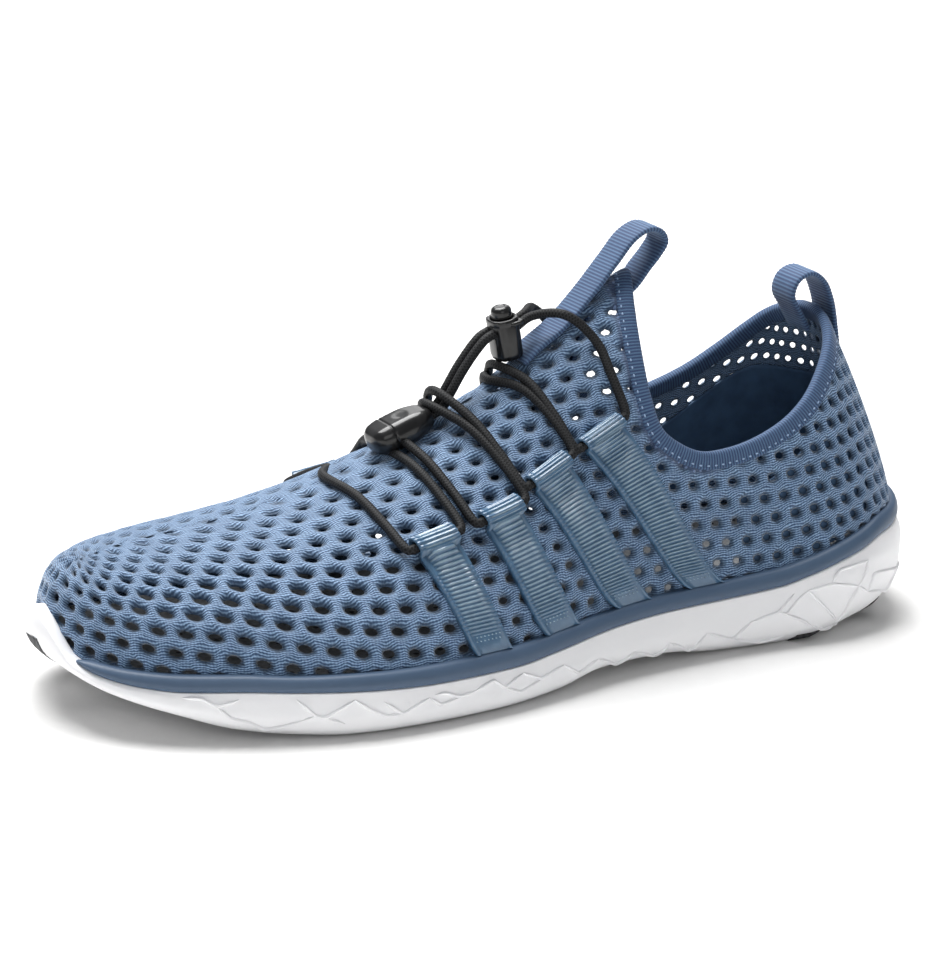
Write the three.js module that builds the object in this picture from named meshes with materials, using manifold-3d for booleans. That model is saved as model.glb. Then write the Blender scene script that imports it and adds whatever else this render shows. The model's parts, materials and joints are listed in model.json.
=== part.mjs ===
// Water shoe for the left foot: a knitted upper on a drained foam sole.
// Millimetres. The toe points to -Y, the outer side of the foot is +X, and +Z is up.
// The origin is on the floor, in the middle of the sole's length and width.
// Every shape follows the named sizes below and the short tables after them.
import * as THREE from 'three';
import Module from 'manifold-3d';

const wasm = await Module();
wasm.setup();
const { Manifold, Mesh: SolidMesh } = wasm;

// Main sizes of the sole and the last
const LENGTH = 290;
const BALL_WIDTH = 112;
const TOE_SPRING = 25;
const SIDE_HEIGHT = 30.5;
const RAND_HEIGHT = 5.2;
const BUMPER_HEIGHT = 33.5;
const PEAK_HEIGHT = 118;
const TOE_BOX_HEIGHT = 44.6;
const HEEL_HEIGHT = 95;
const HEEL_SETBACK = 44;
const FLOOR_HEIGHT = 16;

// Walls and clearances
const CLEARANCE = 0.3;
const SIDE_WALL = 4.5;
const RAND_LIP = 1.0;
const UPPER_WALL = 1.8;
const INSOLE_THICKNESS = 4;
const BINDING_WIDTH = 5.2;
const BINDING_STEP = 0.7;
const PAD_THICKNESS = 2.2;
const RIB_RADIUS = 0.8;

// Straps, lace and webbing
const STRAP_THICKNESS = 1.5;
const SEAT = 0.15;
const STRAP_WIDTH = 13;
const PIPING = 0.5;
const LACE_DIAMETER = 2.8;
const LACE_PLAY = 0.35;
const LOOP_WALL = 1.0;
const LOOP_LIFT = CLEARANCE + SEAT + LOOP_WALL + LACE_DIAMETER / 2 + LACE_PLAY;
const LACE_SIDES = 6;
const CORD_SIDES = 8;
const WEBBING_THICKNESS = 1.5;
const FRONT_WEBBING_WIDTH = 11;
const HEEL_WEBBING_WIDTH = 12;

// Cord lock and end clip
const LOCK_DIAMETER = 8.8;
const LOCK_HEIGHT = 13;
const PLUNGER_DIAMETER = 6.2;
const BUTTON_CROWN = 0.6;
const PLUNGER_DEPTH = 7;
const PLUNGER_TRAVEL = 3;
const CLIP_LENGTH = 20.5;
const CLIP_WIDTH = 13;
const CLIP_THICKNESS = 9.5;

// Fineness of the lofts
const STATIONS = 26;
const SECTION_STEPS = 6;
const CAP_COLUMNS = 2;

// Half widths of the sole's outline: at is the share of the length from the heel, the rest shares of the ball width
const OUTLINE = [
  { at: 0.0, lateral: -0.036, medial: 0.036 },
  { at: 0.009, lateral: 0.088, medial: 0.179 },
  { at: 0.028, lateral: 0.186, medial: 0.257 },
  { at: 0.055, lateral: 0.264, medial: 0.349 },
  { at: 0.093, lateral: 0.321, medial: 0.403 },
  { at: 0.145, lateral: 0.353, medial: 0.428 },
  { at: 0.207, lateral: 0.35, medial: 0.424 },
  { at: 0.276, lateral: 0.348, medial: 0.391 },
  { at: 0.345, lateral: 0.359, medial: 0.352 },
  { at: 0.421, lateral: 0.385, medial: 0.349 },
  { at: 0.503, lateral: 0.439, medial: 0.385 },
  { at: 0.579, lateral: 0.482, medial: 0.442 },
  { at: 0.655, lateral: 0.5, medial: 0.487 },
  { at: 0.731, lateral: 0.493, medial: 0.5 },
  { at: 0.807, lateral: 0.444, medial: 0.483 },
  { at: 0.876, lateral: 0.373, medial: 0.43 },
  { at: 0.924, lateral: 0.303, medial: 0.371 },
  { at: 0.959, lateral: 0.222, medial: 0.293 },
  { at: 0.981, lateral: 0.132, medial: 0.205 },
  { at: 0.995, lateral: 0.03, medial: 0.109 },
  { at: 1.0, lateral: -0.042, medial: 0.042 },
];

// Heights along the side: lift is a share of the toe spring, ledge of the side height, floor of the floor height
const HEIGHTS = [
  { at: 0.0, lift: 0.26, ledge: 1.0, rand: 1.05, floor: 1.0 },
  { at: 0.03, lift: 0.15, ledge: 0.99, rand: 1.05, floor: 0.98 },
  { at: 0.08, lift: 0.115, ledge: 0.965, rand: 1.05, floor: 0.96 },
  { at: 0.115, lift: 0.1, ledge: 0.87, rand: 1.02, floor: 0.94 },
  { at: 0.15, lift: 0.04, ledge: 0.79, rand: 0.95, floor: 0.93 },
  { at: 0.18, lift: 0.0, ledge: 0.71, rand: 0.95, floor: 0.92 },
  { at: 0.22, lift: 0.0, ledge: 0.63, rand: 0.98, floor: 0.9 },
  { at: 0.29, lift: 0.025, ledge: 0.59, rand: 0.95, floor: 0.88 },
  { at: 0.36, lift: 0.12, ledge: 0.575, rand: 0.95, floor: 0.84 },
  { at: 0.44, lift: 0.13, ledge: 0.53, rand: 0.95, floor: 0.78 },
  { at: 0.5, lift: 0.03, ledge: 0.475, rand: 1.0, floor: 0.7 },
  { at: 0.56, lift: 0.0, ledge: 0.43, rand: 1.04, floor: 0.64 },
  { at: 0.65, lift: 0.0, ledge: 0.43, rand: 0.98, floor: 0.61 },
  { at: 0.74, lift: 0.0, ledge: 0.46, rand: 0.88, floor: 0.61 },
  { at: 0.8, lift: 0.045, ledge: 0.485, rand: 0.8, floor: 0.65 },
  { at: 0.85, lift: 0.12, ledge: 0.505, rand: 0.84, floor: 0.72 },
  { at: 0.9, lift: 0.28, ledge: 0.5, rand: 0.85, floor: 0.84 },
  { at: 0.935, lift: 0.4, ledge: 0.525, rand: 0.78, floor: 0.97 },
  { at: 0.965, lift: 0.53, ledge: 0.585, rand: 0.6, floor: 1.1 },
  { at: 0.985, lift: 0.68, ledge: 0.72, rand: 0.15, floor: 1.22 },
  { at: 1.0, lift: 0.86, ledge: 0.88, rand: 0.0, floor: 1.34 },
];

// Profile of the white side: rise from the bottom edge to the ledge, then how far it lies inside the outline
const SIDE_PROFILE = [
  { rise: 0.0, middle: 5.0, heel: 8.5, toe: 5.0 },
  { rise: 0.1, middle: 2.4, heel: 5.0, toe: 2.4 },
  { rise: 0.25, middle: 0.7, heel: 2.2, toe: 0.8 },
  { rise: 0.5, middle: 0.0, heel: 0.3, toe: 0.0 },
  { rise: 0.75, middle: 0.5, heel: 0.0, toe: 0.4 },
  { rise: 1.0, middle: 1.3, heel: 2.0, toe: 1.4 },
];

// Ridge of the last: height as a share of the peak, shift as a share of the ball width towards the inner side
const RIDGE = [
  { at: 0.15, height: 0.99, shift: 0.045 },
  { at: 0.24, height: 0.985, shift: 0.035 },
  { at: 0.32, height: 0.96, shift: 0.02 },
  { at: 0.355, height: 0.928, shift: 0.015 },
  { at: 0.38, height: 0.885, shift: 0.015 },
  { at: 0.42, height: 0.812, shift: 0.02 },
  { at: 0.46, height: 0.742, shift: 0.03 },
  { at: 0.5, height: 0.672, shift: 0.035 },
  { at: 0.56, height: 0.595, shift: 0.045 },
  { at: 0.62, height: 0.53, shift: 0.06 },
  { at: 0.69, height: 0.461, shift: 0.075 },
  { at: 0.76, height: 0.417, shift: 0.085 },
  { at: 0.83, height: 0.394, shift: 0.085 },
  { at: 0.9, height: 0.378, shift: 0.075 },
  { at: 0.945, height: 0.36, shift: 0.06 },
];

// Roundness of each section: crown rules the top, wall rules the side, 1 is straight and 2 a round arc
const FULLNESS = [
  { at: 0.0, crown: 1.2, wall: 1.15 },
  { at: 0.1, crown: 1.3, wall: 1.25 },
  { at: 0.25, crown: 1.45, wall: 1.35 },
  { at: 0.4, crown: 1.6, wall: 1.35 },
  { at: 0.5, crown: 1.7, wall: 1.4 },
  { at: 0.65, crown: 1.9, wall: 1.6 },
  { at: 0.8, crown: 2.1, wall: 1.9 },
  { at: 0.9, crown: 2.3, wall: 2.1 },
  { at: 1.0, crown: 2.5, wall: 2.2 },
];

// Line of the collar seen from the side: height is the sum of the shares of the heel height and the peak height
const COLLAR = [
  { at: 0.04, heel: 1.1, peak: 0.0 },
  { at: 0.09, heel: 1.005, peak: 0.0 },
  { at: 0.115, heel: 0.93, peak: 0.0 },
  { at: 0.14, heel: 0.85, peak: 0.0 },
  { at: 0.165, heel: 0.78, peak: 0.0 },
  { at: 0.195, heel: 0.72, peak: 0.0 },
  { at: 0.23, heel: 0.68, peak: 0.0 },
  { at: 0.265, heel: 0.66, peak: 0.0 },
  { at: 0.3, heel: 0.662, peak: 0.0 },
  { at: 0.326, heel: 0.5, peak: 0.16 },
  { at: 0.344, heel: 0.25, peak: 0.4 },
  { at: 0.352, heel: 0.0, peak: 0.68 },
  { at: 0.353, heel: 0.0, peak: 0.77 },
  { at: 0.35, heel: 0.0, peak: 0.85 },
  { at: 0.344, heel: 0.0, peak: 0.91 },
  { at: 0.325, heel: 0.0, peak: 1.0 },
];
const COLLAR_TILT = -0.06;

// Straps from the front: top and foot are shares of the length, climb is how far up the section the top lies
const STRAPS = [
  { top: 0.625, foot: 0.584, climb: 0.497 },
  { top: 0.546, foot: 0.493, climb: 0.494 },
  { top: 0.482, foot: 0.398, climb: 0.524 },
  { top: 0.417, foot: 0.306, climb: 0.527 },
];

// Crossings of the lace: front is the strap before it, pull is how far the crossing is drawn towards the toe
const CROSSINGS = [
  { name: 'low', front: 0, pull: 0.024 },
  { name: 'mid', front: 1, pull: 0.022 },
  { name: 'top', front: 2, pull: 0.04 },
];

// Webbing loops seen from the side: along is the distance to the heel's back, both shares of length and peak height
const FRONT_LOOP = [
  { at: 0.449, height: 0.776 },
  { at: 0.42, height: 0.825 },
  { at: 0.388, height: 0.902 },
  { at: 0.362, height: 0.975 },
  { at: 0.34, height: 1.035 },
  { at: 0.321, height: 1.055 },
  { at: 0.307, height: 1.042 },
  { at: 0.303, height: 1.018 },
  { at: 0.311, height: 0.985 },
  { at: 0.323, height: 0.952 },
  { at: 0.335, height: 0.916 },
  { at: 0.347, height: 0.892 },
  { at: 0.36, height: 0.872 },
];
const HEEL_LOOP = [
  { at: 0.074, height: 0.66 },
  { at: 0.0795, height: 0.735 },
  { at: 0.086, height: 0.805 },
  { at: 0.097, height: 0.86 },
  { at: 0.113, height: 0.885 },
  { at: 0.13, height: 0.87 },
  { at: 0.136, height: 0.83 },
  { at: 0.126, height: 0.785 },
  { at: 0.114, height: 0.735 },
];

// Places of the cord lock and the end clip: at and height as before, across a share of the ball width outwards
const LOCK_SEAT = { at: 0.4735, height: 0.747, across: -0.031, lean: 11 };
const CLIP_SEAT = { at: 0.596, height: 0.595, across: -0.035, lean: 20 };

// Drain holes in rows across the sole: first is the outermost hole and pitch the step to the inner side, as shares
// of the ball width; skew moves each next hole towards the heel, wide and long are shares of the ball width too
const DRAINS = [
  { at: 0.878, first: 0.073, pitch: 0.232, skew: -0.017, count: 2, long: 0.1, wide: 0.075 },
  { at: 0.819, first: 0.085, pitch: 0.222, skew: -0.005, count: 2, long: 0.1, wide: 0.08 },
  { at: 0.755, first: 0.3, pitch: 0.186, skew: -0.006, count: 4, long: 0.098, wide: 0.08 },
  { at: 0.7, first: 0.328, pitch: 0.176, skew: -0.002, count: 4, long: 0.098, wide: 0.08 },
  { at: 0.645, first: 0.35, pitch: 0.157, skew: 0.0, count: 5, long: 0.095, wide: 0.078 },
  { at: 0.598, first: 0.26, pitch: 0.146, skew: 0.003, count: 4, long: 0.086, wide: 0.07 },
  { at: 0.555, first: 0.308, pitch: 0.127, skew: 0.005, count: 5, long: 0.08, wide: 0.062 },
  { at: 0.517, first: 0.254, pitch: 0.122, skew: 0.006, count: 4, long: 0.068, wide: 0.052 },
  { at: 0.481, first: 0.222, pitch: 0.121, skew: 0.008, count: 4, long: 0.062, wide: 0.046 },
  { at: 0.45, first: 0.213, pitch: 0.114, skew: 0.006, count: 4, long: 0.056, wide: 0.042 },
  { at: 0.42, first: 0.199, pitch: 0.118, skew: 0.009, count: 4, long: 0.054, wide: 0.04 },
  { at: 0.389, first: 0.182, pitch: 0.119, skew: 0.01, count: 4, long: 0.056, wide: 0.042 },
  { at: 0.358, first: 0.165, pitch: 0.121, skew: 0.01, count: 4, long: 0.06, wide: 0.045 },
  { at: 0.324, first: 0.151, pitch: 0.12, skew: 0.012, count: 4, long: 0.066, wide: 0.05 },
  { at: 0.279, first: 0.125, pitch: 0.148, skew: 0.012, count: 4, long: 0.078, wide: 0.06 },
  { at: 0.221, first: 0.076, pitch: 0.174, skew: 0.014, count: 3, long: 0.1, wide: 0.078 },
  { at: 0.162, first: -0.005, pitch: 0.2, skew: 0.0, count: 2, long: 0.106, wide: 0.085 },
];

// Corners of the rubber pads: at is the share of the length from the heel, out the share of the ball width outwards
const TOE_PAD = [
  { at: 0.998, out: -0.01 }, { at: 0.994, out: -0.088 }, { at: 0.9, out: -0.035 }, { at: 0.872, out: -0.115 },
  { at: 0.87, out: -0.175 }, { at: 0.97, out: -0.262 }, { at: 0.957, out: -0.315 }, { at: 0.83, out: -0.255 },
  { at: 0.79, out: -0.33 }, { at: 0.862, out: -0.446 }, { at: 0.82, out: -0.5 }, { at: 0.755, out: -0.4 },
  { at: 0.728, out: -0.525 }, { at: 0.688, out: -0.53 }, { at: 0.682, out: -0.4 }, { at: 0.586, out: -0.3 },
  { at: 0.59, out: -0.245 }, { at: 0.69, out: -0.32 }, { at: 0.735, out: -0.255 }, { at: 0.647, out: -0.225 },
  { at: 0.65, out: -0.165 }, { at: 0.76, out: -0.175 }, { at: 0.79, out: -0.12 }, { at: 0.707, out: -0.14 },
  { at: 0.708, out: -0.085 }, { at: 0.77, out: -0.02 },
];
const HEEL_PAD = [
  { at: 0.186, out: 0.36 }, { at: 0.159, out: 0.352 }, { at: 0.193, out: 0.202 }, { at: 0.17, out: 0.145 },
  { at: 0.122, out: 0.13 }, { at: 0.072, out: 0.29 }, { at: 0.045, out: 0.25 }, { at: 0.118, out: 0.1 },
  { at: 0.108, out: 0.06 }, { at: 0.068, out: 0.03 }, { at: 0.012, out: 0.11 }, { at: 0.002, out: 0.06 },
  { at: 0.049, out: -0.03 }, { at: 0.005, out: -0.17 }, { at: 0.055, out: -0.265 }, { at: 0.052, out: -0.19 },
  { at: 0.083, out: -0.07 }, { at: 0.108, out: -0.035 }, { at: 0.121, out: 0.02 }, { at: 0.163, out: 0.045 },
  { at: 0.212, out: 0.1 }, { at: 0.235, out: 0.13 },
];

// Zigzag ribs on the white side: corners step along the length, low and high are shares of the side's rise
const RIBS = [
  { start: 0.955, end: 0.56, corners: 13, low: 0.42, high: 0.88, side: 1 },
  { start: 0.9, end: 0.62, corners: 7, low: 0.14, high: 0.48, side: 1 },
  { start: 0.27, end: 0.04, corners: 7, low: 0.14, high: 0.9, side: 1 },
  { start: 0.955, end: 0.56, corners: 13, low: 0.42, high: 0.88, side: -1 },
  { start: 0.27, end: 0.04, corners: 7, low: 0.14, high: 0.9, side: -1 },
];

/** Value of one column of a table at a share of the length, along a smooth curve without overshoot. */
function column(table, name, at) {
  const last = table.length - 1;
  if (at <= table[0].at) return table[0][name];
  if (at >= table[last].at) return table[last][name];
  let i = 0;
  while (table[i + 1].at < at) i += 1;
  const slope = (k) => (table[k + 1][name] - table[k][name]) / (table[k + 1].at - table[k].at);
  const tangent = (k) => {
    if (k === 0) return slope(0);
    if (k === last) return slope(last - 1);
    const before = slope(k - 1);
    const after = slope(k);
    return before * after <= 0 ? 0 : (2 * before * after) / (before + after);
  };
  const span = table[i + 1].at - table[i].at;
  const t = (at - table[i].at) / span;
  const t2 = t * t;
  const t3 = t2 * t;
  return (
    (2 * t3 - 3 * t2 + 1) * table[i][name] +
    (t3 - 2 * t2 + t) * span * tangent(i) +
    (3 * t2 - 2 * t3) * table[i + 1][name] +
    (t3 - t2) * span * tangent(i + 1)
  );
}

const shareAt = (y) => Math.min(1, Math.max(0, 0.5 - y / LENGTH));
const alongY = (at) => (0.5 - at) * LENGTH;
const lerp = (a, b, t) => a + (b - a) * t;
const clamp01 = (t) => Math.min(1, Math.max(0, t));
const smooth = (t) => clamp01(t) ** 2 * (3 - 2 * clamp01(t));

/** Height of the sole's bottom over the floor. */
const bottomZ = (at) => TOE_SPRING * column(HEIGHTS, 'lift', at);

/** Top of the white side: it rises into the toe bumper in front of the rand. */
function ledgeZ(at) {
  const side = SIDE_HEIGHT * column(HEIGHTS, 'ledge', at);
  return lerp(side, BUMPER_HEIGHT, smooth((at - 0.981) / 0.02));
}

const randTopZ = (at) => SIDE_HEIGHT * column(HEIGHTS, 'ledge', at) + RAND_HEIGHT * column(HEIGHTS, 'rand', at);
const floorZ = (at) => FLOOR_HEIGHT * column(HEIGHTS, 'floor', at);

/** Closed ring of points on the sole's widest outline: heel tip, outer side, toe tip, inner side. */
function outlineRing() {
  const last = OUTLINE.length - 1;
  const points = OUTLINE.map((r) => new THREE.Vector3(r.lateral * BALL_WIDTH, alongY(r.at), 0));
  for (let i = last - 1; i > 0; i -= 1) {
    points.push(new THREE.Vector3(-OUTLINE[i].medial * BALL_WIDTH, alongY(OUTLINE[i].at), 0));
  }
  const curve = new THREE.CatmullRomCurve3(points, true, 'centripetal');
  const half = (from, to) => {
    const fine = [];
    for (let i = 0; i <= 400; i += 1) fine.push(curve.getPoint(lerp(from, to, i / 400)));
    const run = [0];
    for (let i = 1; i < fine.length; i += 1) run.push(run[i - 1] + fine[i].distanceTo(fine[i - 1]));
    const picked = [];
    let k = 0;
    for (let i = 0; i <= STATIONS; i += 1) {
      const want = (run[run.length - 1] * i) / STATIONS;
      while (k < run.length - 2 && run[k + 1] < want) k += 1;
      picked.push(fine[k].clone().lerp(fine[k + 1], (want - run[k]) / (run[k + 1] - run[k])));
    }
    return picked;
  };
  const outer = half(0, 0.5);
  const inner = half(0.5, 1);
  return outer.slice(0, -1).concat(inner.slice(0, -1));
}

const RING = outlineRing();
const NORMALS = RING.map((_, i) => {
  const next = RING[(i + 1) % RING.length];
  const before = RING[(i + RING.length - 1) % RING.length];
  return new THREE.Vector3(before.y - next.y, next.x - before.x, 0).normalize();
});

/** Point of the outline moved inwards, at a height given as a function of the share along the length. */
function ringPoint(i, inset, heightAt) {
  const p = RING[i].clone().addScaledVector(NORMALS[i], -inset);
  p.z = heightAt(shareAt(p.y));
  return p;
}

const ringOf = (inset, heightAt) => RING.map((_, i) => ringPoint(i, inset, heightAt));
const innerIndex = (i) => (RING.length - i) % RING.length;

/** Collects triangles by corner points, merges equal corners and gives one solid with its faces pointing out. */
class Skin {
  constructor() {
    this.corners = [];
    this.faces = [];
    this.known = new Map();
  }

  corner(p) {
    const key = `${Math.round(p.x * 5000)},${Math.round(p.y * 5000)},${Math.round(p.z * 5000)}`;
    if (!this.known.has(key)) {
      this.known.set(key, this.corners.length);
      this.corners.push(p);
    }
    return this.known.get(key);
  }

  triangle(a, b, c) {
    const [i, j, k] = [this.corner(a), this.corner(b), this.corner(c)];
    if (i !== j && j !== k && k !== i) this.faces.push([i, j, k]);
  }

  quad(a, b, c, d) {
    this.triangle(a, b, c);
    this.triangle(a, c, d);
  }

  /** Side walls between rings of equal length. */
  walls(rings, closed = true) {
    for (let r = 0; r + 1 < rings.length; r += 1) {
      const n = rings[r].length;
      for (let i = 0; i < (closed ? n : n - 1); i += 1) {
        const j = (i + 1) % n;
        this.quad(rings[r][i], rings[r][j], rings[r + 1][j], rings[r + 1][i]);
      }
    }
  }

  /** Flat fan over a ring of points. */
  fan(ring, flip = false) {
    for (let i = 1; i + 1 < ring.length; i += 1) {
      if (flip) this.triangle(ring[0], ring[i + 1], ring[i]);
      else this.triangle(ring[0], ring[i], ring[i + 1]);
    }
  }

  /** Grid of strips across a sole ring, with the height of its inner points from a function. */
  sheet(ring, heightAt, flip = false) {
    const row = (i) => {
      const a = ring[i];
      const b = ring[innerIndex(i)];
      const points = [];
      for (let j = 0; j <= CAP_COLUMNS; j += 1) {
        const p = a.clone().lerp(b, j / CAP_COLUMNS);
        if (j > 0 && j < CAP_COLUMNS) p.z = heightAt(shareAt(p.y));
        points.push(p);
      }
      return points;
    };
    for (let i = 0; i < STATIONS; i += 1) {
      const from = i === 0 ? row(0).map(() => ring[0]) : row(i);
      const to = i === STATIONS - 1 ? row(i + 1).map(() => ring[STATIONS]) : row(i + 1);
      for (let j = 0; j < CAP_COLUMNS; j += 1) {
        if (flip) this.quad(from[j], from[j + 1], to[j + 1], to[j]);
        else this.quad(from[j], to[j], to[j + 1], from[j + 1]);
      }
    }
  }

  solid() {
    let volume = 0;
    const [a, b, c] = [new THREE.Vector3(), new THREE.Vector3(), new THREE.Vector3()];
    for (const face of this.faces) {
      a.copy(this.corners[face[0]]);
      b.copy(this.corners[face[1]]);
      c.copy(this.corners[face[2]]);
      volume += a.dot(b.cross(c));
    }
    const turned = volume < 0 ? this.faces.map(([i, j, k]) => [i, k, j]) : this.faces;
    const mesh = new SolidMesh({
      numProp: 3,
      vertProperties: new Float32Array(this.corners.flatMap((p) => [p.x, p.y, p.z])),
      triVerts: new Uint32Array(turned.flat()),
    });
    return new Manifold(mesh);
  }
}

/** Twice the signed area of a polygon of corner pairs. */
function signedArea(polygon) {
  return polygon.reduce((sum, [x, y], i) => {
    const [u, v] = polygon[(i + 1) % polygon.length];
    return sum + x * v - u * y;
  }, 0);
}

const counterClockwise = (polygon) => (signedArea(polygon) < 0 ? [...polygon].reverse() : polygon);

/** Prism along X over a polygon of [y, z] corners, with the heights tilted by the place across. */
function sidePrism(polygon, fromX, toX, tilt = 0) {
  const skin = new Skin();
  const outline = counterClockwise(polygon);
  const ring = (x) => outline.map(([y, z]) => new THREE.Vector3(x, y, z + tilt * x));
  const [near, far] = [ring(fromX), ring(toX)];
  skin.walls([near, far]);
  const flat = outline.map(([y, z]) => new THREE.Vector2(y, z));
  for (const [a, b, c] of THREE.ShapeUtils.triangulateShape(flat, [])) {
    skin.triangle(near[a], near[c], near[b]);
    skin.triangle(far[a], far[b], far[c]);
  }
  return skin.solid();
}

/** Prism along Z over a polygon of [x, y] corners. */
function floorPrism(polygon, fromZ, toZ) {
  const skin = new Skin();
  const outline = counterClockwise(polygon);
  const ring = (z) => outline.map(([x, y]) => new THREE.Vector3(x, y, z));
  const [low, high] = [ring(fromZ), ring(toZ)];
  skin.walls([low, high]);
  const flat = outline.map(([x, y]) => new THREE.Vector2(x, y));
  for (const [a, b, c] of THREE.ShapeUtils.triangulateShape(flat, [])) {
    skin.triangle(low[a], low[c], low[b]);
    skin.triangle(high[a], high[b], high[c]);
  }
  return skin.solid();
}

/** Round bar along a path of points, with flat ends. */
function bar(path, radius, sides = 8, squash = 1) {
  const skin = new Skin();
  const rings = [];
  let up = new THREE.Vector3(0, 0, 1);
  path.forEach((p, i) => {
    const ahead = path[Math.min(i + 1, path.length - 1)];
    const behind = path[Math.max(i - 1, 0)];
    const along = ahead.clone().sub(behind).normalize();
    if (Math.abs(along.dot(up)) > 0.95) up = new THREE.Vector3(1, 0, 0);
    const across = along.clone().cross(up).normalize();
    up = across.clone().cross(along).normalize();
    const ring = [];
    for (let k = 0; k < sides; k += 1) {
      const turn = (2 * Math.PI * (k + 0.5)) / sides;
      ring.push(
        p
          .clone()
          .addScaledVector(across, radius * Math.cos(turn))
          .addScaledVector(up, squash * radius * Math.sin(turn)),
      );
    }
    rings.push(ring);
  });
  skin.walls(rings);
  skin.fan(rings[0], true);
  skin.fan(rings[rings.length - 1]);
  return skin.solid();
}

/** Smooth path through chosen points with a given number of steps. */
function smoothPath(points, steps) {
  return new THREE.CatmullRomCurve3(points, false, 'centripetal').getPoints(steps);
}

/** Round solid about an axis from a profile of [radius, height] rows, placed by a matrix. */
function turned(profile, sides, placement) {
  const skin = new Skin();
  const rings = profile.map(([radius, height]) => {
    const ring = [];
    for (let k = 0; k < sides; k += 1) {
      const turn = (2 * Math.PI * (k + 0.5)) / sides;
      ring.push(new THREE.Vector3(radius * Math.cos(turn), radius * Math.sin(turn), height).applyMatrix4(placement));
    }
    return ring;
  });
  skin.walls(rings);
  skin.fan(rings[0], true);
  skin.fan(rings[rings.length - 1]);
  return skin.solid();
}

/** Share of the heel in the side's profile, and of the toe. */
const heelShare = (at) => 1 - smooth((at - 0.04) / 0.2);
const toeShare = (at) => smooth((at - 0.86) / 0.12);

/** Solid of the sole's outside, from its bottom to the top of the white side. */
function soleForm(lift = 0, shrink = 0) {
  const skin = new Skin();
  const rings = SIDE_PROFILE.map((row) =>
    RING.map((p, i) => {
      const at = shareAt(p.y);
      const inset = lerp(lerp(row.middle, row.heel, heelShare(at)), row.toe, toeShare(at));
      const low = (share) => bottomZ(share) + lift;
      return ringPoint(i, inset + shrink, (share) => lerp(low(share), Math.max(ledgeZ(share), low(share) + 1), row.rise));
    }),
  );
  skin.walls(rings);
  skin.sheet(rings[0], (share) => bottomZ(share) + lift, true);
  skin.sheet(rings[rings.length - 1], ledgeZ, false);
  return skin.solid();
}

/** Place on the ridge for a share of the base, held back at the heel and the toe so that the ends fan out. */
function ridgeShare(at) {
  const heelEnd = HEEL_SETBACK / LENGTH;
  const toeEnd = 0.945;
  const bend = 0.1;
  if (at < heelEnd + bend) {
    const t = 1 - at / (heelEnd + bend);
    return heelEnd + bend - bend * (1 - (1 - t) ** ((heelEnd + bend) / bend));
  }
  if (at > toeEnd - bend) {
    const reach = 1 - toeEnd + bend;
    const t = (at - toeEnd + bend) / reach;
    return toeEnd - bend + bend * (1 - (1 - t) ** (reach / bend));
  }
  return at;
}

/** Height of the ridge: it meets the toe box height at the toe and the peak height at the throat. */
function ridgeZ(at) {
  const share = column(RIDGE, 'height', at);
  const plain = share * PEAK_HEIGHT;
  const low = share * PEAK_HEIGHT + (TOE_BOX_HEIGHT - 0.378 * PEAK_HEIGHT);
  return lerp(plain, low, smooth((at - 0.45) / 0.45));
}

/** Point on the ridge, moved out along its normal. */
function ridgePoint(at, out) {
  const step = 0.004;
  const rise = (ridgeZ(at + step) - ridgeZ(at - step)) / (2 * step * LENGTH);
  const length = Math.hypot(1, rise);
  const x = -column(RIDGE, 'shift', at) * BALL_WIDTH;
  return new THREE.Vector3(x, alongY(at) + (out * rise) / length, ridgeZ(at) + out / length);
}

/** Arc of one half section from the feather line to the ridge, out being the step over the upper's skin. */
function halfSection(i, side, out) {
  const k = side > 0 ? i : innerIndex(i);
  const base = ringPoint(k, SIDE_WALL + CLEARANCE - out, randTopZ);
  const at = shareAt(RING[k].y);
  const both = (shareAt(RING[i].y) + shareAt(RING[innerIndex(i)].y)) / 2;
  const ridge = ridgePoint(ridgeShare(both), out);
  const crown = column(FULLNESS, 'crown', at);
  const wall = column(FULLNESS, 'wall', at);
  const points = [];
  for (let j = 0; j <= SECTION_STEPS; j += 1) {
    const turn = (Math.PI / 2) * (j / SECTION_STEPS);
    const far = j === SECTION_STEPS ? 0 : Math.cos(turn) ** (2 / crown);
    const high = Math.sin(turn) ** (2 / wall);
    points.push(
      new THREE.Vector3(
        lerp(ridge.x, base.x, far),
        lerp(ridge.y, base.y, far),
        lerp(base.z, ridge.z, high),
      ),
    );
  }
  return points;
}

/** Whole section from the outer feather line over the ridge to the inner one. */
function section(i, out) {
  const outer = halfSection(i, 1, out);
  const inner = halfSection(i, -1, out).reverse();
  return outer.concat(inner.slice(1));
}

/** Closed form of the last with a step out over the upper's skin, standing at a height over the footbed. */
function lastForm(out, over) {
  const skin = new Skin();
  const foot = ringOf(SIDE_WALL + CLEARANCE - out, (at) => floorZ(at) + over);
  const rows = [];
  for (let i = 0; i <= STATIONS; i += 1) rows.push([foot[i], ...section(i, out), foot[innerIndex(i)]]);
  for (let i = 0; i < STATIONS; i += 1) {
    for (let j = 0; j + 1 < rows[i].length; j += 1) {
      skin.quad(rows[i][j], rows[i][j + 1], rows[i + 1][j + 1], rows[i + 1][j]);
    }
  }
  skin.sheet(foot, (at) => floorZ(at) + over, false);
  return skin.solid();
}

/** Point on the upper's skin at a share of the length and a climb from 0 at the feather line to 1 at the ridge. */
function onUpper(at, climb, side, out) {
  let i = 0;
  const place = (k) => shareAt(RING[side > 0 ? k : innerIndex(k)].y);
  while (i < STATIONS - 1 && place(i + 1) < at) i += 1;
  const t = clamp01((at - place(i)) / (place(i + 1) - place(i)));
  const pick = (points) => {
    const f = clamp01(climb) * SECTION_STEPS;
    const j = Math.min(SECTION_STEPS - 1, Math.floor(f));
    return points[j].clone().lerp(points[j + 1], f - j);
  };
  return pick(halfSection(i, side, out)).lerp(pick(halfSection(i + 1, side, out)), t);
}

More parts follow.
